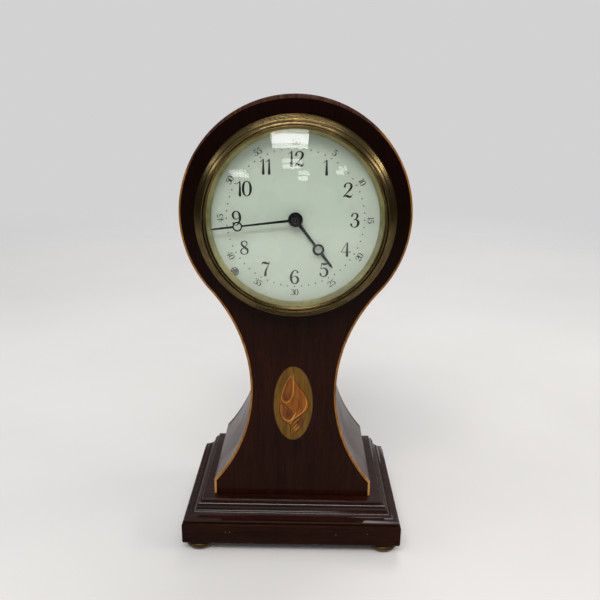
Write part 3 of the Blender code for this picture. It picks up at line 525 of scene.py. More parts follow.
def balloon():
    """The case's outline, clockwise from its lower left corner."""
    lean = atan2(HEAD_Z - SWEEP_Z, SWEEP_X)
    drop = acos((SWEEP_X - FLARE_HALF_WIDTH) / SWEEP_RADIUS)
    left = arc((-SWEEP_X, SWEEP_Z), SWEEP_RADIUS, -drop, lean, 36)
    head = arc((0, HEAD_Z), HEAD_RADIUS, pi + lean, -lean, 130)
    right = [(-x, z) for x, z in reversed(left)]
    return [(-FLARE_HALF_WIDTH, CASE_BOTTOM), *left, *head[1:-1], *right, (FLARE_HALF_WIDTH, CASE_BOTTOM)]


OUTLINE = balloon()
BOARD_HOLE = circle(44.1, 96, (0, DIAL_Z))


def string_width(x, z):
    """The line is worn thinner round the head and is wider over the top of it."""
    up = min(max((z - HEAD_Z + 50.0) / 40.0, 0.0), 1.0)
    top = min(max((z - HEAD_Z - 26.0) / (HEAD_RADIUS - 26.0), 0.0), 1.0)
    thinned = LINE_AT_SIDES + (LINE_AT_HEAD - LINE_AT_SIDES) * up
    return thinned + (LINE_AT_TOP - LINE_AT_HEAD) * top * top


def inset(amount):
    return offset(OUTLINE, lambda x, z: amount)


def strip_between(rows):
    """A strip that follows the sides and the head, through (outline, y) rows round its section."""
    bm = bmesh.new()
    loops = loops_of(bm, rows)
    walls(bm, loops, closed=False, ring=True)
    for end in (0, -1):
        bm.faces.new([loop[end] for loop in loops])
    return bm


def oval(grow):
    """The inlay's oval, larger by grow."""
    width, height = [half + grow for half in INLAY_HALF]
    return [(x * width, INLAY_Z + z * height) for x, z in circle(1, 96)]


def build_panel():
    """The front board. Its edge is rebated for the line and it has an oval pocket for the inlay."""
    line_inner = offset(OUTLINE, lambda x, z: string_width(x, z) + 0.04)
    board_edge = inset(VENEER + 0.05)
    rebate, back = CASE_FRONT + 1.3, PANEL_REAR + 0.14
    bm = bmesh.new()
    rows = [(board_edge, back), (board_edge, rebate), (line_inner, rebate), (line_inner, CASE_FRONT)]
    loops = loops_of(bm, rows)
    walls(bm, loops)
    hole = loops_of(bm, [(BOARD_HOLE, CASE_FRONT), (BOARD_HOLE, back)])
    pocket = loops_of(bm, [(oval(0.04), CASE_FRONT), (oval(0.04), CASE_FRONT + 1.2)])
    wall(bm, *pocket)
    wall(bm, *hole)
    fill(bm, loops[-1], hole[0], pocket[0])
    fill(bm, loops[0], hole[1])
    fill(bm, pocket[1])
    piece("front_board", bm, PANEL_WOOD, "front_panel")


def build_stringing():
    front, rear = CASE_FRONT, CASE_FRONT + 1.25
    rows = [(OUTLINE, rear), (OUTLINE, front + 0.3), (inset(0.05), front + 0.12), (inset(0.16), front + 0.03)]
    inner = offset(OUTLINE, string_width)
    rows += [(inset(0.34), front), (inner, front), (inner, rear)]
    piece("edge_line", strip_between(rows), STRING_WOOD, "edge_stringing", sharp=60)


def build_sides():
    """The bent side, whose veneer laps the front board's edge, with a joint line at the back board."""
    inner, veneer_inner = inset(BAND_THICKNESS), inset(VENEER)
    lap, front, rear = CASE_FRONT + 1.27, PANEL_REAR + 0.16, BACK_BOARD_FRONT - 0.06
    rows = [(veneer_inner, lap), (OUTLINE, lap), (OUTLINE, rear - 0.12), (inset(0.12), rear)]
    rows += [(inner, rear), (inner, front), (veneer_inner, front)]
    piece("bent_side", strip_between(rows), SIDE_WOOD, "case_band", sharp=60)
    half, bottom = FLARE_HALF_WIDTH - BAND_THICKNESS - 0.1, CASE_BOTTOM
    top = bottom + BAND_THICKNESS
    corners = [(-half, bottom), (half, bottom), (half, top), (-half, top)]
    floor = prism(corners, [], front, rear)
    piece("inner_floor", floor, BACK_WOOD, "case_floor", bevel=0.2)


def build_back_board():
    bm = bmesh.new()
    rows = [(inset(0.12), BACK_BOARD_FRONT), (OUTLINE, BACK_BOARD_FRONT + 0.12), (OUTLINE, CASE_REAR - 0.5)]
    rows += [(inset(0.15), CASE_REAR - 0.15), (inset(0.5), CASE_REAR)]
    loops = loops_of(bm, rows)
    walls(bm, loops)
    hole = loops_of(bm, [(BOARD_HOLE, BACK_BOARD_FRONT), (BOARD_HOLE, CASE_REAR)])
    wall(bm, *hole)
    fill(bm, loops[0], hole[0])
    fill(bm, loops[-1], hole[1])
    piece("back_board", bm, BACK_WOOD, "back_panel", sharp=60)


def slotted_screw(radius, height):
    """A raised screw head with a slot, facing -Y, whose flat seat is at y 0."""
    bm = bmesh.new()
    slot_half, depth, sides = radius * 0.14, height * 0.55, 24
    start = asin(slot_half / radius)
    half_circle = [start + (pi - 2 * start) * i / sides for i in range(sides + 1)]
    crown = [(sin(pi / 2 * i / 6), cos(pi / 2 * i / 6)) for i in range(1, 7)]
    for side in (1, -1):
        rows = []
        for share, lift in crown:
            row = []
            for a in half_circle:
                x = radius * share * cos(a)
                z = max(radius * share * sin(a), slot_half)
                row.append(bm.verts.new((x, -height * (0.45 + 0.55 * lift), side * z)))
            rows.append(row)
        centre = bm.verts.new((0, -height, side * slot_half))
        for a, b in zip(rows[0], rows[0][1:]):
            bm.faces.new((centre, a, b))
        seat = [bm.verts.new((v.co.x, 0.0, v.co.z)) for v in rows[-1]]
        rows.append(seat)
        walls(bm, rows, closed=False)
        bm.faces.new([centre, *[row[0] for row in rows], *[row[-1] for row in reversed(rows)]])
        bm.faces.new(seat)
    end = radius * 0.98
    corners = ((-end, -slot_half), (end, -slot_half), (end, slot_half), (-end, slot_half))
    slab(bm, corners, depth - height, 0.0)
    return bm


def screw_at(name, place, radius, height, finish, turn, rear=True, stands_for=None):
    """A slotted screw whose head stands out at the back, or else at the front."""
    matrix = Matrix.Rotation(turn, 4, "Y")
    if rear:
        matrix = Matrix.Rotation(pi, 4, "Z") @ matrix
    piece(name, moved(slotted_screw(radius, height), *place, matrix), finish, stands_for, sharp=50)


def rings_of(levels):
    """Rectangles one on the other, each (inset, z), flush with the back, as a closed moulding."""
    bm = bmesh.new()
    loops = []
    for inward, z in levels:
        side, front, rear = PLINTH_HALF - inward, PLINTH_FRONT + inward, PLINTH_REAR
        corners = ((-side, front), (side, front), (side, rear), (-side, rear))
        loops.append([bm.verts.new((x, y, z)) for x, y in corners])
    walls(bm, loops, capped=True)
    return bm


def curve(start, end, pieces, hollow=False):
    """A quarter-ellipse from start to end, both (inset, z). A hollow one leaves start level."""
    across, up = end[0] - start[0], end[1] - start[1]
    made = []
    for i in range(1, pieces + 1):
        sine, rest = sin(pi / 2 * i / pieces), 1 - cos(pi / 2 * i / pieces)
        if hollow:
            sine, rest = rest, sine
        made.append((start[0] + across * rest, start[1] + up * sine))
    return made


def build_plinth():
    """A thick band with rounded edges, and a stepped moulding that carries the case."""
    low, high = BLOCK_LOW[2], BLOCK_HIGH[2] + 0.12
    band = [(1.9, low), *curve((1.9, low), (0.0, low + 2.2), 8, hollow=True), (0.0, high - 1.2)]
    band += curve((0.0, high - 1.2), (1.0, high), 8)
    bm = rings_of(band)
    piece("plinth_band", bm, PLINTH_WOOD, "plinth_block", sharp=50)

    base = MOULD_LOW[2]
    recess_and_lip = [(1.5, -0.1), (1.5, 0.75), (1.0, 0.8), (0.95, 1.3), (1.1, 1.5), (2.6, 1.9)]
    cove = curve((2.6, base + 1.9), (7.3, base + 6.2), 14, hollow=True)
    fillet = [(7.5, 6.35), (8.1, 6.45), (8.1, 7.3), (8.3, 7.5), (9.6, 7.6), (9.75, 7.7)]
    tread = from_level(MOULD_HIGH[2], [(9.75, -0.4), (9.8, -0.2), (9.95, -0.05), (10.2, 0.0)])
    bm = rings_of([*from_level(base, recess_and_lip), *cove, *from_level(base, fillet), *tread])
    piece("stepped_moulding", bm, MOULDING_WOOD, "plinth_moulding", sharp=32)


def build_pin_marks():
    """Filled holes over the pins that hold the band and the moulding."""
    bm = bmesh.new()
    middle = centre_mm("plinth_block")[2]
    for x, up in PINS:
        slab(bm, circle(0.42, 14, (x, middle + up)), PLINTH_FRONT - 0.02, PLINTH_FRONT + 0.1)
    piece("pin_marks", bm, FILLER)


def build_feet():
    bun = [(0, 0), (4.6, 0), (5.3, 0.12), (6.3, 0.5), (7.1, 1.1), (7.6, 1.8), (7.75, 2.3), (7.7, 2.8)]
    bun += [(7.4, 3.4), (6.95, 3.85), (6.5, 4.1), (6.35, 4.3), (5.9, 4.45), (2.1, 4.5), (2.1, 11.5)]
    bun.append((0, 11.5))
    for name in ("foot_front_left", "foot_front_right", "foot_rear_left", "foot_rear_right"):
        x, y, _ = centre_mm(name)
        upright = moved(turned([(r, -z) for r, z in bun], 64), matrix=Matrix.Rotation(-pi / 2, 4, "X"))
        moved(upright, x, y, box_mm(name)[0][2])
        piece(name + "_bun", upright, FOOT_BRASS, name, sharp=40)


# ---- marquetry

# In hundredths of the oval's half sizes, and line widths in hundredths of a millimetre.
BODY = [(-3, 74), (6, 66), (25, 47), (49, 32), (67, 16), (76, 0), (71, -14), (53, -25), (24, -36),
        (-2, -46), (-14, -58), (-36, -51), (-54, -42), (-66, -24), (-67, 2), (-58, 20), (-42, 46),
        (-20, 68)]
LOBE = [(53, -27), (60, -32), (53, -46), (38, -64), (12, -79), (-6, -86), (-12, -72), (-12, -58), (0, -49),
        (24, -39)]
SPIRE = [(-13, 69), (-25, 58), (-38, 43), (-48, 26), (-46, 13), (-34, 8), (-20, 14), (-12, 30), (-10, 48)]
LIGHTS = [
    [(-13, 74, 22), (-29, 62, 24), (-45, 43, 28), (-58, 21, 32), (-53, 8, 32), (-35, 2, 34), (-16, 8, 30),
     (-4, 22, 34), (1, 42, 36), (-3, 80, 20)],
    [(60, 19, 20), (66, 2, 45), (60, -13, 50), (43, -25, 45), (18, -35, 40), (-4, -45, 35), (-12, -56, 20)],
    [(-55, -36, 20), (-34, -45, 50), (-14, -46, 60), (5, -34, 60), (16, -22, 30)],
    [(-2, -70, 20), (10, -63, 40), (20, -55, 20)],
    [(8, -74, 20), (20, -68, 40), (31, -61, 20)],
    [(0, -58, 15), (14, -49, 30), (34, -40, 15)],
]
FOLDS = [
    [(4, 69, 20), (25, 48, 30), (50, 33, 35), (69, 16, 35), (78, 0, 35), (72, -15, 35), (54, -26, 35),
     (24, -38, 35), (0, -48, 35), (-13, -60, 30)],
    [(-66, 4, 25), (-67, -24, 35), (-54, -43, 40), (-36, -52, 35), (-16, -57, 30), (-12, -72, 30),
     (-10, -85, 20)],
    [(23, 16, 15), (28, -2, 40), (26, -14, 35), (17, -26, 15)],
    [(-64, 1, 20), (-42, -4, 35), (-20, -16, 40), (-12, -28, 15)],
    [(-50, -8, 10), (-30, -20, 30), (-24, -30, 15)],
    [(60, -31, 20), (54, -46, 30), (39, -65, 30), (12, -80, 30), (-6, -87, 20)],
    [(50, -36, 15), (28, -47, 30), (6, -60, 30), (-4, -74, 15)],
    [(20, 30, 10), (38, 24, 25), (46, 14, 10)],
]
SEAM = [
    [(0, 99, 12), (1, 90, 16), (-1, 80, 12)],
    [(0, -87, 12), (1, -98, 12)],
]
FOLDS.insert(0, [(u, v, 20) for u, v in [*SPIRE, SPIRE[0]]])


def shares(points):
    """Points written in hundredths, as whole units."""
    return [tuple(value / 100 for value in point) for point in points]


def on_oval(u, v):
    return (u * INLAY_HALF[0], INLAY_Z + v * INLAY_HALF[1])


def leaf(name, points, level, finish):
    """A thin piece of veneer with a smooth outline."""
    outline = smooth_path([on_oval(u, v) for u, v in shares(points)], 6, closed=True)
    piece(name, prism(outline, [], CASE_FRONT - level, CASE_FRONT + 0.3), finish)


def veneer_line(name, lines, level, finish):
    """Several thin veneer lines, each of (u, v, width) points, in one piece."""
    bm = bmesh.new()
    for points in lines:
        path = smooth_path([(*on_oval(u, v), w) for u, v, w in shares(points)], 8)
        ribbon(bm, path, CASE_FRONT - level, CASE_FRONT + 0.3)
    piece(name, bm, finish)


def ribbon(bm, path, front, rear, depth_at=lambda x, z: 0.0):
    """A flat line of varying width with rounded ends. path holds (x, z, width)."""
    path = [*end_cap(path[0], path[1]), *path, *reversed(end_cap(path[-1], path[-2]))]
    rows = []
    for i, (x, z, width) in enumerate(path):
        before, after = path[max(i - 1, 0)], path[min(i + 1, len(path) - 1)]
        dx, dz = after[0] - before[0], after[1] - before[1]
        length = hypot(dx, dz) or 1.0
        nx, nz = -dz / length * width / 2, dx / length * width / 2
        left, right = (x + nx, z + nz), (x - nx, z - nz)
        corners = ((left, front), (right, front), (right, rear), (left, rear))
        rows.append([bm.verts.new((cx, y + depth_at(cx, cz), cz)) for (cx, cz), y in corners])
    walls(bm, rows, capped=True)


def end_cap(end, inside):
    """Extra points past a line's end, whose widths round it off."""
    dx, dz = end[0] - inside[0], end[1] - inside[1]
    length = hypot(dx, dz) or 1.0
    made = []
    for t in (0.97, 0.85, 0.6, 0.3):
        reach = end[2] / 2 * t / length
        made.append((end[0] + dx * reach, end[1] + dz * reach, end[2] * sqrt(1 - t * t)))
    return made


def build_inlay():
    """An oval of golden veneer with a sand-shaded shell, made of separate pieces like real marquetry."""
    bm = prism(oval(0.0), [], CASE_FRONT - 0.01, CASE_FRONT + 1.0)
    piece("inlay_ground", bm, OVAL_VENEER, "shell_inlay")
    bm = prism(oval(0.0), [oval(-0.35)], CASE_FRONT - 0.03, CASE_FRONT + 0.3)
    piece("inlay_border", bm, OVAL_LINE)
    leaf("shell_body", BODY, 0.03, SHELL_VENEER)
    leaf("shell_lobe", LOBE, 0.035, LOBE_VENEER)
    leaf("shell_spire", SPIRE, 0.045, SPIRE_VENEER)
    veneer_line("shell_lights", LIGHTS, 0.06, PALE_VENEER)
    veneer_line("shell_folds", FOLDS, 0.075, SCORCHED_VENEER)
    veneer_line("oval_seam", SEAM, 0.03, OVAL_LINE)


# ---- dial

def dome(x, z):
    """How far the dial's face stands forward of its edge, from the dial's centre."""
    share = min(hypot(x, z) / DIAL_RADIUS, 1.0)
    return -DIAL_DOME * (1 - share * share)


# Each figure is its breadth and its strokes of (x, height, width), in hundredths of the figure's height.
FIGURES = {
    "0": (50, [[(0, 100, 5), (-14, 90, 11), (-21, 65, 17), (-21, 35, 17), (-14, 10, 11), (0, 0, 5),
         (14, 10, 11), (21, 35, 17), (21, 65, 17), (14, 90, 11), (0, 100, 5)]]),
    "1": (34, [[(2, 96, 9), (2, 50, 13), (2, 4, 19)],
        [(0, 97, 5), (-7, 88, 4.5), (-17, 80, 3.5)]]),
    "2": (56, [[(-18, 74, 15), (-16, 86, 10), (-5, 97, 6), (10, 96, 9), (20, 82, 16), (17, 63, 15),
         (4, 42, 9), (-12, 22, 6), (-24, 5, 5)],
        [(-24, 4, 5), (-12, 12, 10), (2, 8, 16), (15, 4, 13), (24, 12, 5), (27, 22, 3)]]),
    "3": (54, [[(-17, 79, 14), (-12, 93, 7), (2, 98, 6), (14, 88, 13), (14, 70, 13), (4, 57, 6),
         (-6, 54, 4.5)],
        [(-6, 54, 4.5), (8, 53, 8), (20, 40, 17), (20, 20, 17), (8, 3, 8), (-8, 2, 6), (-18, 11, 9),
         (-20, 20, 15)]]),
    "4": (58, [[(8, 97, 4.5), (-10, 66, 4), (-26, 30, 4.5)],
        [(-26, 30, 4.5), (0, 29, 5), (19, 29, 5), (25, 31, 10)],
        [(8, 96, 8), (8, 50, 13), (8, 4, 18)]]),
    "5": (54, [[(-15, 98, 4), (-8, 93, 11), (5, 91, 14), (16, 94, 10), (23, 102, 3)],
        [(-14, 96, 5), (-16, 75, 4.5), (-18, 55, 4)],
        [(-18, 54, 4), (-5, 62, 6), (10, 58, 12), (20, 40, 18), (18, 18, 16), (6, 3, 8), (-8, 2, 6),
         (-18, 11, 9), (-20, 19, 15)]]),
    "6": (54, [[(17, 83, 13), (12, 94, 7), (0, 98, 6), (-13, 84, 11), (-21, 60, 16), (-22, 35, 17),
         (-14, 10, 12), (0, 1, 6), (14, 9, 12), (20, 28, 16), (14, 48, 12), (0, 56, 5), (-14, 46, 5)]]),
    "7": (54, [[(-23, 80, 3), (-20, 92, 10), (-8, 95, 16), (6, 90, 15), (18, 92, 8), (23, 100, 4)],
        [(22, 97, 4), (10, 65, 7), (0, 35, 13), (-3, 5, 18)]]),
    "8": (54, [[(0, 98, 5), (-15, 88, 10), (-15, 70, 14), (0, 54, 16), (17, 37, 15), (18, 14, 10),
         (0, 2, 5), (-18, 12, 10), (-19, 32, 10), (-4, 49, 6), (13, 68, 6), (14, 88, 8), (0, 98, 5)]]),
}
FIGURES["9"] = (FIGURES["6"][0], [[(-x, 100 - z, w) for x, z, w in stroke] for stroke in FIGURES["6"][1]])

PAINT = (-0.035, 0.03)
FIGURE_BREADTH = 1.18
HOUR_CIRCLE, HOUR_HEIGHT = 29.0, 7.1
DOT_CIRCLE, DOT_RADIUS = 33.85, 0.33
FIVE_CIRCLE, FIVE_HEIGHT = 36.9, 3.0
CENTRE_HOLE = 2.7


def round_dial(radius, turn):
    """A place on the dial, clockwise from the top as seen from the front."""
    return (radius * sin(turn), radius * cos(turn))


def number(bm, text, height, place, turn):
    """Draws a number about place on the dial, turned clockwise as seen from the front."""
    cursor = -sum(FIGURES[character][0] for character in text) / 200
    c, s = cos(turn), sin(turn)
    for character in text:
        advance, strokes = FIGURES[character]
        middle = cursor + advance / 200
        for stroke in strokes:
            path = []
            for x, z, width in smooth_path(shares(stroke), 6):
                u, v = (x + middle) * FIGURE_BREADTH * height, (z - 0.5) * height
                path.append((place[0] + u * c + v * s, place[1] - u * s + v * c, width * height))
            ribbon(bm, path, *PAINT, depth_at=dome)
        cursor += advance / 100


def build_dial():
    thickness = DIAL_REAR - DIAL_FACE
    radii = [CENTRE_HOLE] + [r for r in (DIAL_RADIUS * i / 12 for i in range(1, 13)) if r > CENTRE_HOLE]
    profile = [(CENTRE_HOLE, thickness), *[(r, dome(r, 0)) for r in radii], (DIAL_RADIUS, thickness)]
    bm = moved(turned(profile, 160, ring=True), 0, DIAL_FACE, DIAL_Z)
    piece("dial_plate", bm, DIAL_ENAMEL, "dial", sharp=40)

    hours = bmesh.new()
    for hour in range(1, 13):
        number(hours, str(hour), HOUR_HEIGHT, round_dial(HOUR_CIRCLE, tau * hour / 12), 0.0)
    moved(hours, 0, DIAL_FACE, DIAL_Z)
    piece("hour_numbers", hours, NUMERAL_PAINT)

    minutes = bmesh.new()
    for minute in range(60):
        x, z = round_dial(DOT_CIRCLE, tau * minute / 60)
        slab(minutes, circle(DOT_RADIUS, 12, (x, z)), *[dome(x, z) + level for level in PAINT])
    for five in range(5, 65, 5):
        a = tau * five / 60
        place = round_dial(FIVE_CIRCLE, a)
        if 20 <= five <= 40:
            a += pi
        number(minutes, str(five), FIVE_HEIGHT, place, a)
    moved(minutes, 0, DIAL_FACE, DIAL_Z)
    piece("minute_marks", minutes, NUMERAL_PAINT)

    x, _, z = centre_mm("dial_screw")
    place = (x, DIAL_FACE + 0.02, z)
    screw_at("dial_fixing", place, 2.1, 0.95, STEEL, 0.6, rear=False, stands_for="dial_screw")


def build_bezel():
    """A turned brass bezel: a foot, three fine reeds up its slope, a bright bead and a hollow inside."""
    seat = BEZEL_SEAT
    ring = [(44.1, seat), (50.0, seat), *bead((50.0, seat - 0.05), (49.75, seat - 1.15), 0.12, 4)]
    ring.append((49.2, seat - 1.3))
    slope = [(49.2, -29.85), (48.55, -31.0), (47.95, -32.15), (47.4, -33.3)]
    for first, last in zip(slope, slope[1:]):
        ring += bead(first, last, 0.34, 7)
    ring += [(46.95, -33.5), (46.9, -33.75), *bead((46.95, -33.8), (45.3, -36.35), 0.62, 12)]
    ring += [(45.0, -36.2), (44.85, -35.85), *bead((44.8, -35.9), (43.5, -36.1), 0.3, 6)]
    ring += [(43.15, -36.0), (43.1, -35.85), (43.1, -35.78), (44.1, -35.75)]
    bm = on_dial_axis(ring, 220, ring=True)
    piece("reeded_bezel", bm, AGED_BRASS, "bezel", sharp=38)

    sight = [(41.35, -31.22), (41.25, -31.45), (41.5, -31.75), *bead((41.7, -31.9), (43.5, -34.5), -0.15, 6)]
    sight += [(43.65, -34.75), (43.7, -31.2)]
    bm = on_dial_axis(sight, 220, ring=True)
    piece("sight_bevel", bm, SIGHT_BRASS, "sight_ring", sharp=50)


def build_glass():
    """The bulging glass, thinner at its ground edge."""
    edge_y, front_y = GLASS_HIGH[1] - 0.5, GLASS_LOW[1]
    rise = edge_y - front_y
    bend = (GLASS_RADIUS**2 + rise**2) / (2 * rise)
    reach = asin(GLASS_RADIUS / bend)
    outside, inside = [], []
    for i in range(25):
        t = i / 24
        r = bend * sin(reach * t)
        y = front_y + bend - bend * cos(reach * t)
        outside.append((r, y))
        inside.append((r, y + 1.4 - 0.9 * r / GLASS_RADIUS))
    bm = on_dial_axis(outside + inside[::-1], 160)
    piece("domed_glass", bm, CLOCK_GLASS, "dial_glass", sharp=60)


def hand_outline(length, hub, ring_at, ring_radius, root, tip):
    """A moon hand that points to +Z: a hub, a tapered shaft, a ring and a fine point."""
    at_hub = asin(root / hub)
    at_ring = asin(tip / ring_radius)
    above = asin(tip * 1.3 / ring_radius)
    quarter_turn = pi / 2
    hub_arc = arc((0, 0), hub, quarter_turn - at_hub, -3 * quarter_turn + at_hub, 60)
    left = arc((0, ring_at), ring_radius, -quarter_turn - at_ring, -3 * quarter_turn + above, 26)
    right = [(-x, z) for x, z in reversed(left)]
    point = [(-tip, length - 1.5), (-0.15, length), (0.15, length), (tip, length - 1.5)]
    return [*hub_arc, *left, *point, *right]


def build_hand(node, group, angle, sizes, bore, hole):
    """A moon hand turned clockwise by angle. sizes goes to hand_outline, and hole is the moon's."""
    c, s = cos(angle), sin(angle)
    loops = []
    for points in (hand_outline(*sizes), circle(bore, 48), circle(hole, 40, (0, sizes[2]))):
        loops.append([(x * c + z * s, -x * s + z * c) for x, z in points])
    low, high = box_mm(node)
    bm = moved(prism(loops[0], loops[1:], low[1], high[1]), z=DIAL_Z)
    piece(node + "_blued", bm, BLUED_STEEL, node, body=group, bevel=0.12)


def build_hands():
    build_hand("minute_hand", "minute_group", MINUTE_ANGLE, (41.5, 3.0, 28.4, 2.4, 0.65, 0.45), 1.8, 1.7)
    build_hand("hour_hand", "hour_group", HOUR_ANGLE, (30.3, 3.6, 18.7, 2.9, 0.85, 0.62), 2.5, 1.8)

    boss = [(1.55, -33.05), (3.3, -33.3), (3.35, -33.7), (3.1, -33.95), (2.5, -34.05), (2.1, -34.15)]
    boss += [(2.0, -34.5), (1.8, -34.6), (1.55, -34.6)]
    bm = on_dial_axis(boss, 72, ring=True)
    piece("minute_hand_boss", bm, BLUED_STEEL, body="minute_group", sharp=50)
    low, high = box_mm("hand_collet")
    cap = from_level(low[1], [(0, 0.0), (0.35, 0.02), (0.75, 0.14), (1.1, 0.4), (1.25, 0.62)])
    bm = on_dial_axis([*cap, (1.3, high[1]), (0, high[1])], 40)
    piece("hand_nut", bm, BLUED_STEEL, "hand_collet", body="minute_group", sharp=50)
    end = from_level(low[1], [(0, -0.05), (0.2, -0.04), (0.34, 0.05), (0.34, 0.3), (0, 0.3)])
    bm = on_dial_axis(end, 24)
    piece("arbor_end", bm, STEEL, body="minute_group", sharp=50)


# ---- rear

def disc_with_lugs(radius, lugs, last, step):
    """A disc's outline from angle 0 round to last, with lugs (high, low) that reach the hinge."""
    points, angle = [], 0.0
    for high, low in lugs:
        lug = pi - asin(high / radius)
        points += arc((0, 0), radius, angle, lug, max(1, round((lug - angle) / step)))
        points += [(HINGE_X, high), (HINGE_X, low)]
        angle = pi - asin(low / radius)
    return points + arc((0, 0), radius, angle, last, round((last - angle) / step))


def knuckle(bm, low, high, radius=0.85, bore=0.6):
    """An upright hinge tube between two heights from the dial's centre."""
    loops = []
    for r, z in ((bore, low), (radius, low), (radius, high), (bore, high)):
        loops.append([bm.verts.new((x, y, z)) for x, y in circle(r, 32, (HINGE_X, HINGE_Y))])
    walls(bm, loops, ring=True)


def build_rear():
    """The rear ring and its door, with the hinge, and the screws that hold the back together."""
    step = radians(3)
    outline = disc_with_lugs(47.5, [(7.0, 3.4), (-3.4, -7.0)], tau - step, step)
    bm = prism(outline, [circle(41.9, 120)], RING_FRONT - 0.25, RING_REAR)
    knuckle(bm, -7.1, -3.3)
    knuckle(bm, 3.3, 7.1)
    moved(bm, z=DIAL_Z)
    piece("rear_seat_ring", bm, DOOR_BRASS, "rear_ring", bevel=0.1)

    front, rear = DOOR_FRONT, DOOR_FRONT + 0.8
    levels = [(44.5, -0.2), (44.3, 0), (43.4, 0), *bead((43.4, 0), (42.0, 0), -0.14, 8), (40.6, 0)]
    levels += [(40.2, -0.25), (38.4, -0.25), (38.0, 0), (21.0, 0), *bead((21.0, 0), (19.8, 0), -0.12, 8)]
    levels += [(19.0, 0), (18.7, -0.2), (6.0, -0.2), (5.7, 0), (0, 0)]
    profile = [(0, front), (44.3, front), (44.5, front + 0.2), *from_level(rear, levels)]
    bm = turned(profile, 180)
    spread = radians(7)
    lip = arc((0, 0), 46.1, -spread, spread, 12) + arc((0, 0), 43.9, spread * 1.5, -spread * 1.5, 12)
    lug = [(HINGE_X, 2.9), (HINGE_X, -2.9), (-43.6, -2.9), (-43.6, 2.9)]
    for points in (lip, lug):
        slab(bm, points, front + 0.02, rear - 0.02)
    knuckle(bm, -3.0, 3.0)
    moved(bm, z=DIAL_Z)
    piece("rear_door_plate", bm, DOOR_BRASS, "rear_door", body="door_group", sharp=30)

    for k in range(4):
        a = radians(45 + 90 * k)
        place = (RING_SCREW_CIRCLE * cos(a), RING_REAR, DIAL_Z + RING_SCREW_CIRCLE * sin(a))
        screw_at(f"ring_screw_{k + 1}", place, 0.9, 0.22, STEEL, a)
    for k, (x, z) in enumerate(BOARD_SCREWS, 1):
        screw_at(f"board_screw_{k}", (x, CASE_REAR, z), 2.2, 0.7, STEEL, 0.5 * k)
    for k in range(1, 5):
        x, _, z = centre_mm(f"pillar_{k}")
        pillar_end = box_mm(f"pillar_{k}")[1][1]
        screw_at(f"plate_screw_{k}", (x, pillar_end, z), 1.7, 0.8, BLUED_STEEL, k)


def build_controls():
    """The knurled knob that sets the hands, and the butterfly key on the winding square."""
    low, high = box_mm("setting_knob")
    angles = [tau * i / 180 for i in range(180)]
    knurl = [(a, high[0] - 0.11 * (1 - cos(36 * a))) for a in angles]
    bm = bmesh.new()
    rows = []
    grip = [(0.84, -3.0), (0.97, -2.75), (1.0, -2.5), (1.0, -0.7), (0.97, -0.25), (0.86, 0.0)]
    for share, y in from_level(high[1], grip):
        rows.append(loop_at(bm, [(r * share * cos(a), r * share * sin(a)) for a, r in knurl], y))
    neck, stem = [loop_at(bm, circle(1.9, 180), y) for y in (high[1] - 3.0, low[1])]
    dish, hollow = [loop_at(bm, circle(r, 180), y) for r, y in ((2.4, high[1]), (2.2, high[1] - 0.35))]
    walls(bm, [stem, neck, *rows, dish, hollow], capped=True)
    moved(bm, z=DIAL_Z)
    piece("knurled_knob", bm, MOVEMENT_BRASS, "setting_knob", body="minute_group", sharp=40)

    start, end = [corner[1] for corner in box_mm("winding_key")]
    socket = [(1.8, 0.0), (2.6, 0.0), (2.7, 0.15), (2.7, 1.2), (2.45, 1.4), (2.45, 6.0), (2.7, 6.2)]
    socket += [(2.7, 8.3), (2.4, 8.6), (1.8, 8.6)]
    bm = turned(from_level(start, socket), 64, ring=True)
    wing_y = start + 10.2
    wing = [(0.0, start + 7.2), *arc((6.6, wing_y), 3.6, radians(-110), radians(110), 28)]
    wing.append((0.0, end - 1.2))
    outline = wing + [(-a, b) for a, b in reversed(wing[1:-1])]
    ends = []
    for thickness, grow in ((-0.8, 0.94), (-0.55, 1.0), (0.55, 1.0), (0.8, 0.94)):
        ends.append([bm.verts.new((a * grow, wing_y + (b - wing_y) * grow, thickness)) for a, b in outline])
    walls(bm, ends)
    fill(bm, ends[0])
    fill(bm, ends[-1])
    x, _, z = centre_mm("winding_key")
    moved(bm, x, 0, z)
    piece("butterfly_key", bm, MOVEMENT_BRASS, "winding_key", "winding_group", sharp=50)


# ---- carried-over nodes

SLOT_FINISH = {
    "mahogany": BACK_WOOD, "red_mahogany": PLINTH_WOOD, "boxwood": STRING_WOOD, "inlay_veneer": OVAL_VENEER,
    "aged_brass": AGED_BRASS, "movement_brass": MOVEMENT_BRASS, "enamel": DIAL_ENAMEL, "glass": CLOCK_GLASS,
    "blued_steel": BLUED_STEEL, "steel": STEEL, "spring_steel": SPRING_STEEL,
}


def finish_nodes():
    for part in frame["record"]["subparts"]:
        node = frame["nodes"][part["node"]]
        finish = SLOT_FINISH[part["material_slot"]]
        if not node.material_slots:
            node.data.materials.append(finish)
        for slot in node.material_slots:
            slot.material = finish


# ---- studio

CLOCK_MIDDLE, HEAD_MIDDLE = (0.0, 0.0, 0.14), (0.0, 0.0, 0.2)
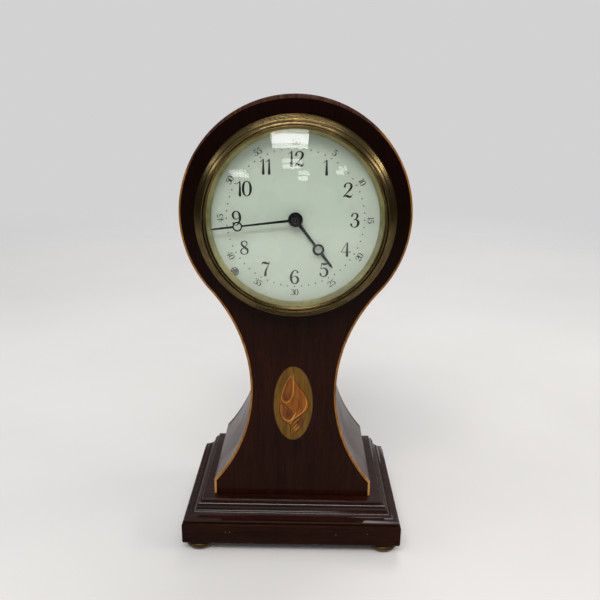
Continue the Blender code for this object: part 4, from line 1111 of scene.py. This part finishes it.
# name, place, target, size, power, colour and whether it shows in reflections
LAMPS = (
    ("key", (-0.3, -1.1, 1.6), CLOCK_MIDDLE, (1.0, 0.8), 19.0, (1.0, 0.99, 0.97), False),
    ("ceiling", (0.0, -1.1, 1.6), CLOCK_MIDDLE, (1.5, 0.07), 7.5),
    ("window", (-0.09, -1.45, 0.875), HEAD_MIDDLE, (0.42, 0.17), 2.3),
    ("left", (-1.25, -0.2, 0.8), CLOCK_MIDDLE, (1.3, 0.2), 4.5, (0.95, 0.97, 1.0)),
    ("right", (1.25, -0.2, 0.8), CLOCK_MIDDLE, (1.3, 0.15), 9.0, (1.0, 0.98, 0.95)),
    ("behind", (0.3, 1.0, 1.6), CLOCK_MIDDLE, (0.8, 0.8), 10.0),
    ("low_behind", (0.1, 1.5, 0.45), CLOCK_MIDDLE, (1.3, 0.5), 4.0),
)
# x, height and width of the small lamps in front
STRIPS = ((-0.08, 0.69, 0.26), (0.08, 0.52, 0.14), (-0.86, 0.56, 0.26), (0.63, 0.62, 0.12))
STRIP_DISTANCE = 1.9
CAMERA_PLACE = (3.77, -347.1, 227.5)
CAMERA_YAW, CAMERA_PITCH, CAMERA_ROLL = -0.003, 0.271, 0.015


def area_light(name, place, target, size, power, colour=(1.0, 1.0, 1.0), mirrored=True):
    light = bpy.data.lights.new(name, "AREA")
    light.shape = "RECTANGLE"
    light.size, light.size_y = size
    light.energy = power
    light.color = colour
    made = new_object(name, light)
    made.location = place
    made.rotation_euler = (Vector(target) - Vector(place)).to_track_quat("-Z", "Y").to_euler()
    made.visible_camera = False
    made.visible_glossy = mirrored


def build_studio():
    mesh = bpy.data.meshes.new("floor")
    reach = 3.0
    corners = [(-reach, -reach, 0), (reach, -reach, 0), (reach, reach, 0), (-reach, reach, 0)]
    mesh.from_pydata(corners, [], [(0, 1, 2, 3)])
    mesh.materials.append(pale_floor())
    new_object("floor", mesh)

    world = bpy.data.worlds.new("studio")
    bpy.context.scene.world = world
    world.use_nodes = True
    tree = world.node_tree
    seen = add(tree, "LightPath").outputs["Is Camera Ray"]
    shade = tree.nodes["Background"]
    shade.inputs["Color"].default_value = (0.97, 0.98, 1.0, 1.0)
    height = axes_of(tree, add(tree, "TexCoord").outputs["Generated"])[2]
    tree.links.new(mapped(tree, height, 0.4, 0.9, 0.08, 0.7), shade.inputs["Strength"])
    pale = add(tree, "Background", {0: (0.86, 0.86, 0.87, 1.0), 1: 0.75}).outputs[0]
    mix_shaders(tree, seen, shade.outputs[0], pale, "World Output")

    for lamp in LAMPS:
        area_light(*lamp)
    for k, (x, z, width) in enumerate(STRIPS, 1):
        area_light(f"strip_{k}", (x, -STRIP_DISTANCE, z), HEAD_MIDDLE, (width, 0.06), width * 1.3)


def build_camera():
    camera = bpy.data.cameras.new("camera")
    camera.lens = 39.0
    camera.sensor_width = 36.0
    camera.clip_start = 0.01
    made = new_object("camera", camera)
    level = cos(CAMERA_PITCH)
    forward = Vector((sin(CAMERA_YAW) * level, cos(CAMERA_YAW) * level, -sin(CAMERA_PITCH)))
    right = Vector((cos(CAMERA_YAW), -sin(CAMERA_YAW), 0.0))
    up = right.cross(forward)
    c, s = cos(CAMERA_ROLL), sin(CAMERA_ROLL)
    turned_right, turned_up = right * c + up * s, up * c - right * s
    axes = Matrix((turned_right, turned_up, -forward)).transposed().to_4x4()
    made.matrix_world = Matrix.Translation(Vector(CAMERA_PLACE) * MM) @ axes
    bpy.context.scene.camera = made


# ---- the whole clock

finish_nodes()
build_panel()
build_stringing()
build_sides()
build_back_board()
build_plinth()
build_pin_marks()
build_feet()
build_inlay()
build_dial()
build_bezel()
build_glass()
build_hands()
build_rear()
build_controls()
build_studio()
build_camera()
bpy.context.scene.view_settings.view_transform = "Standard"
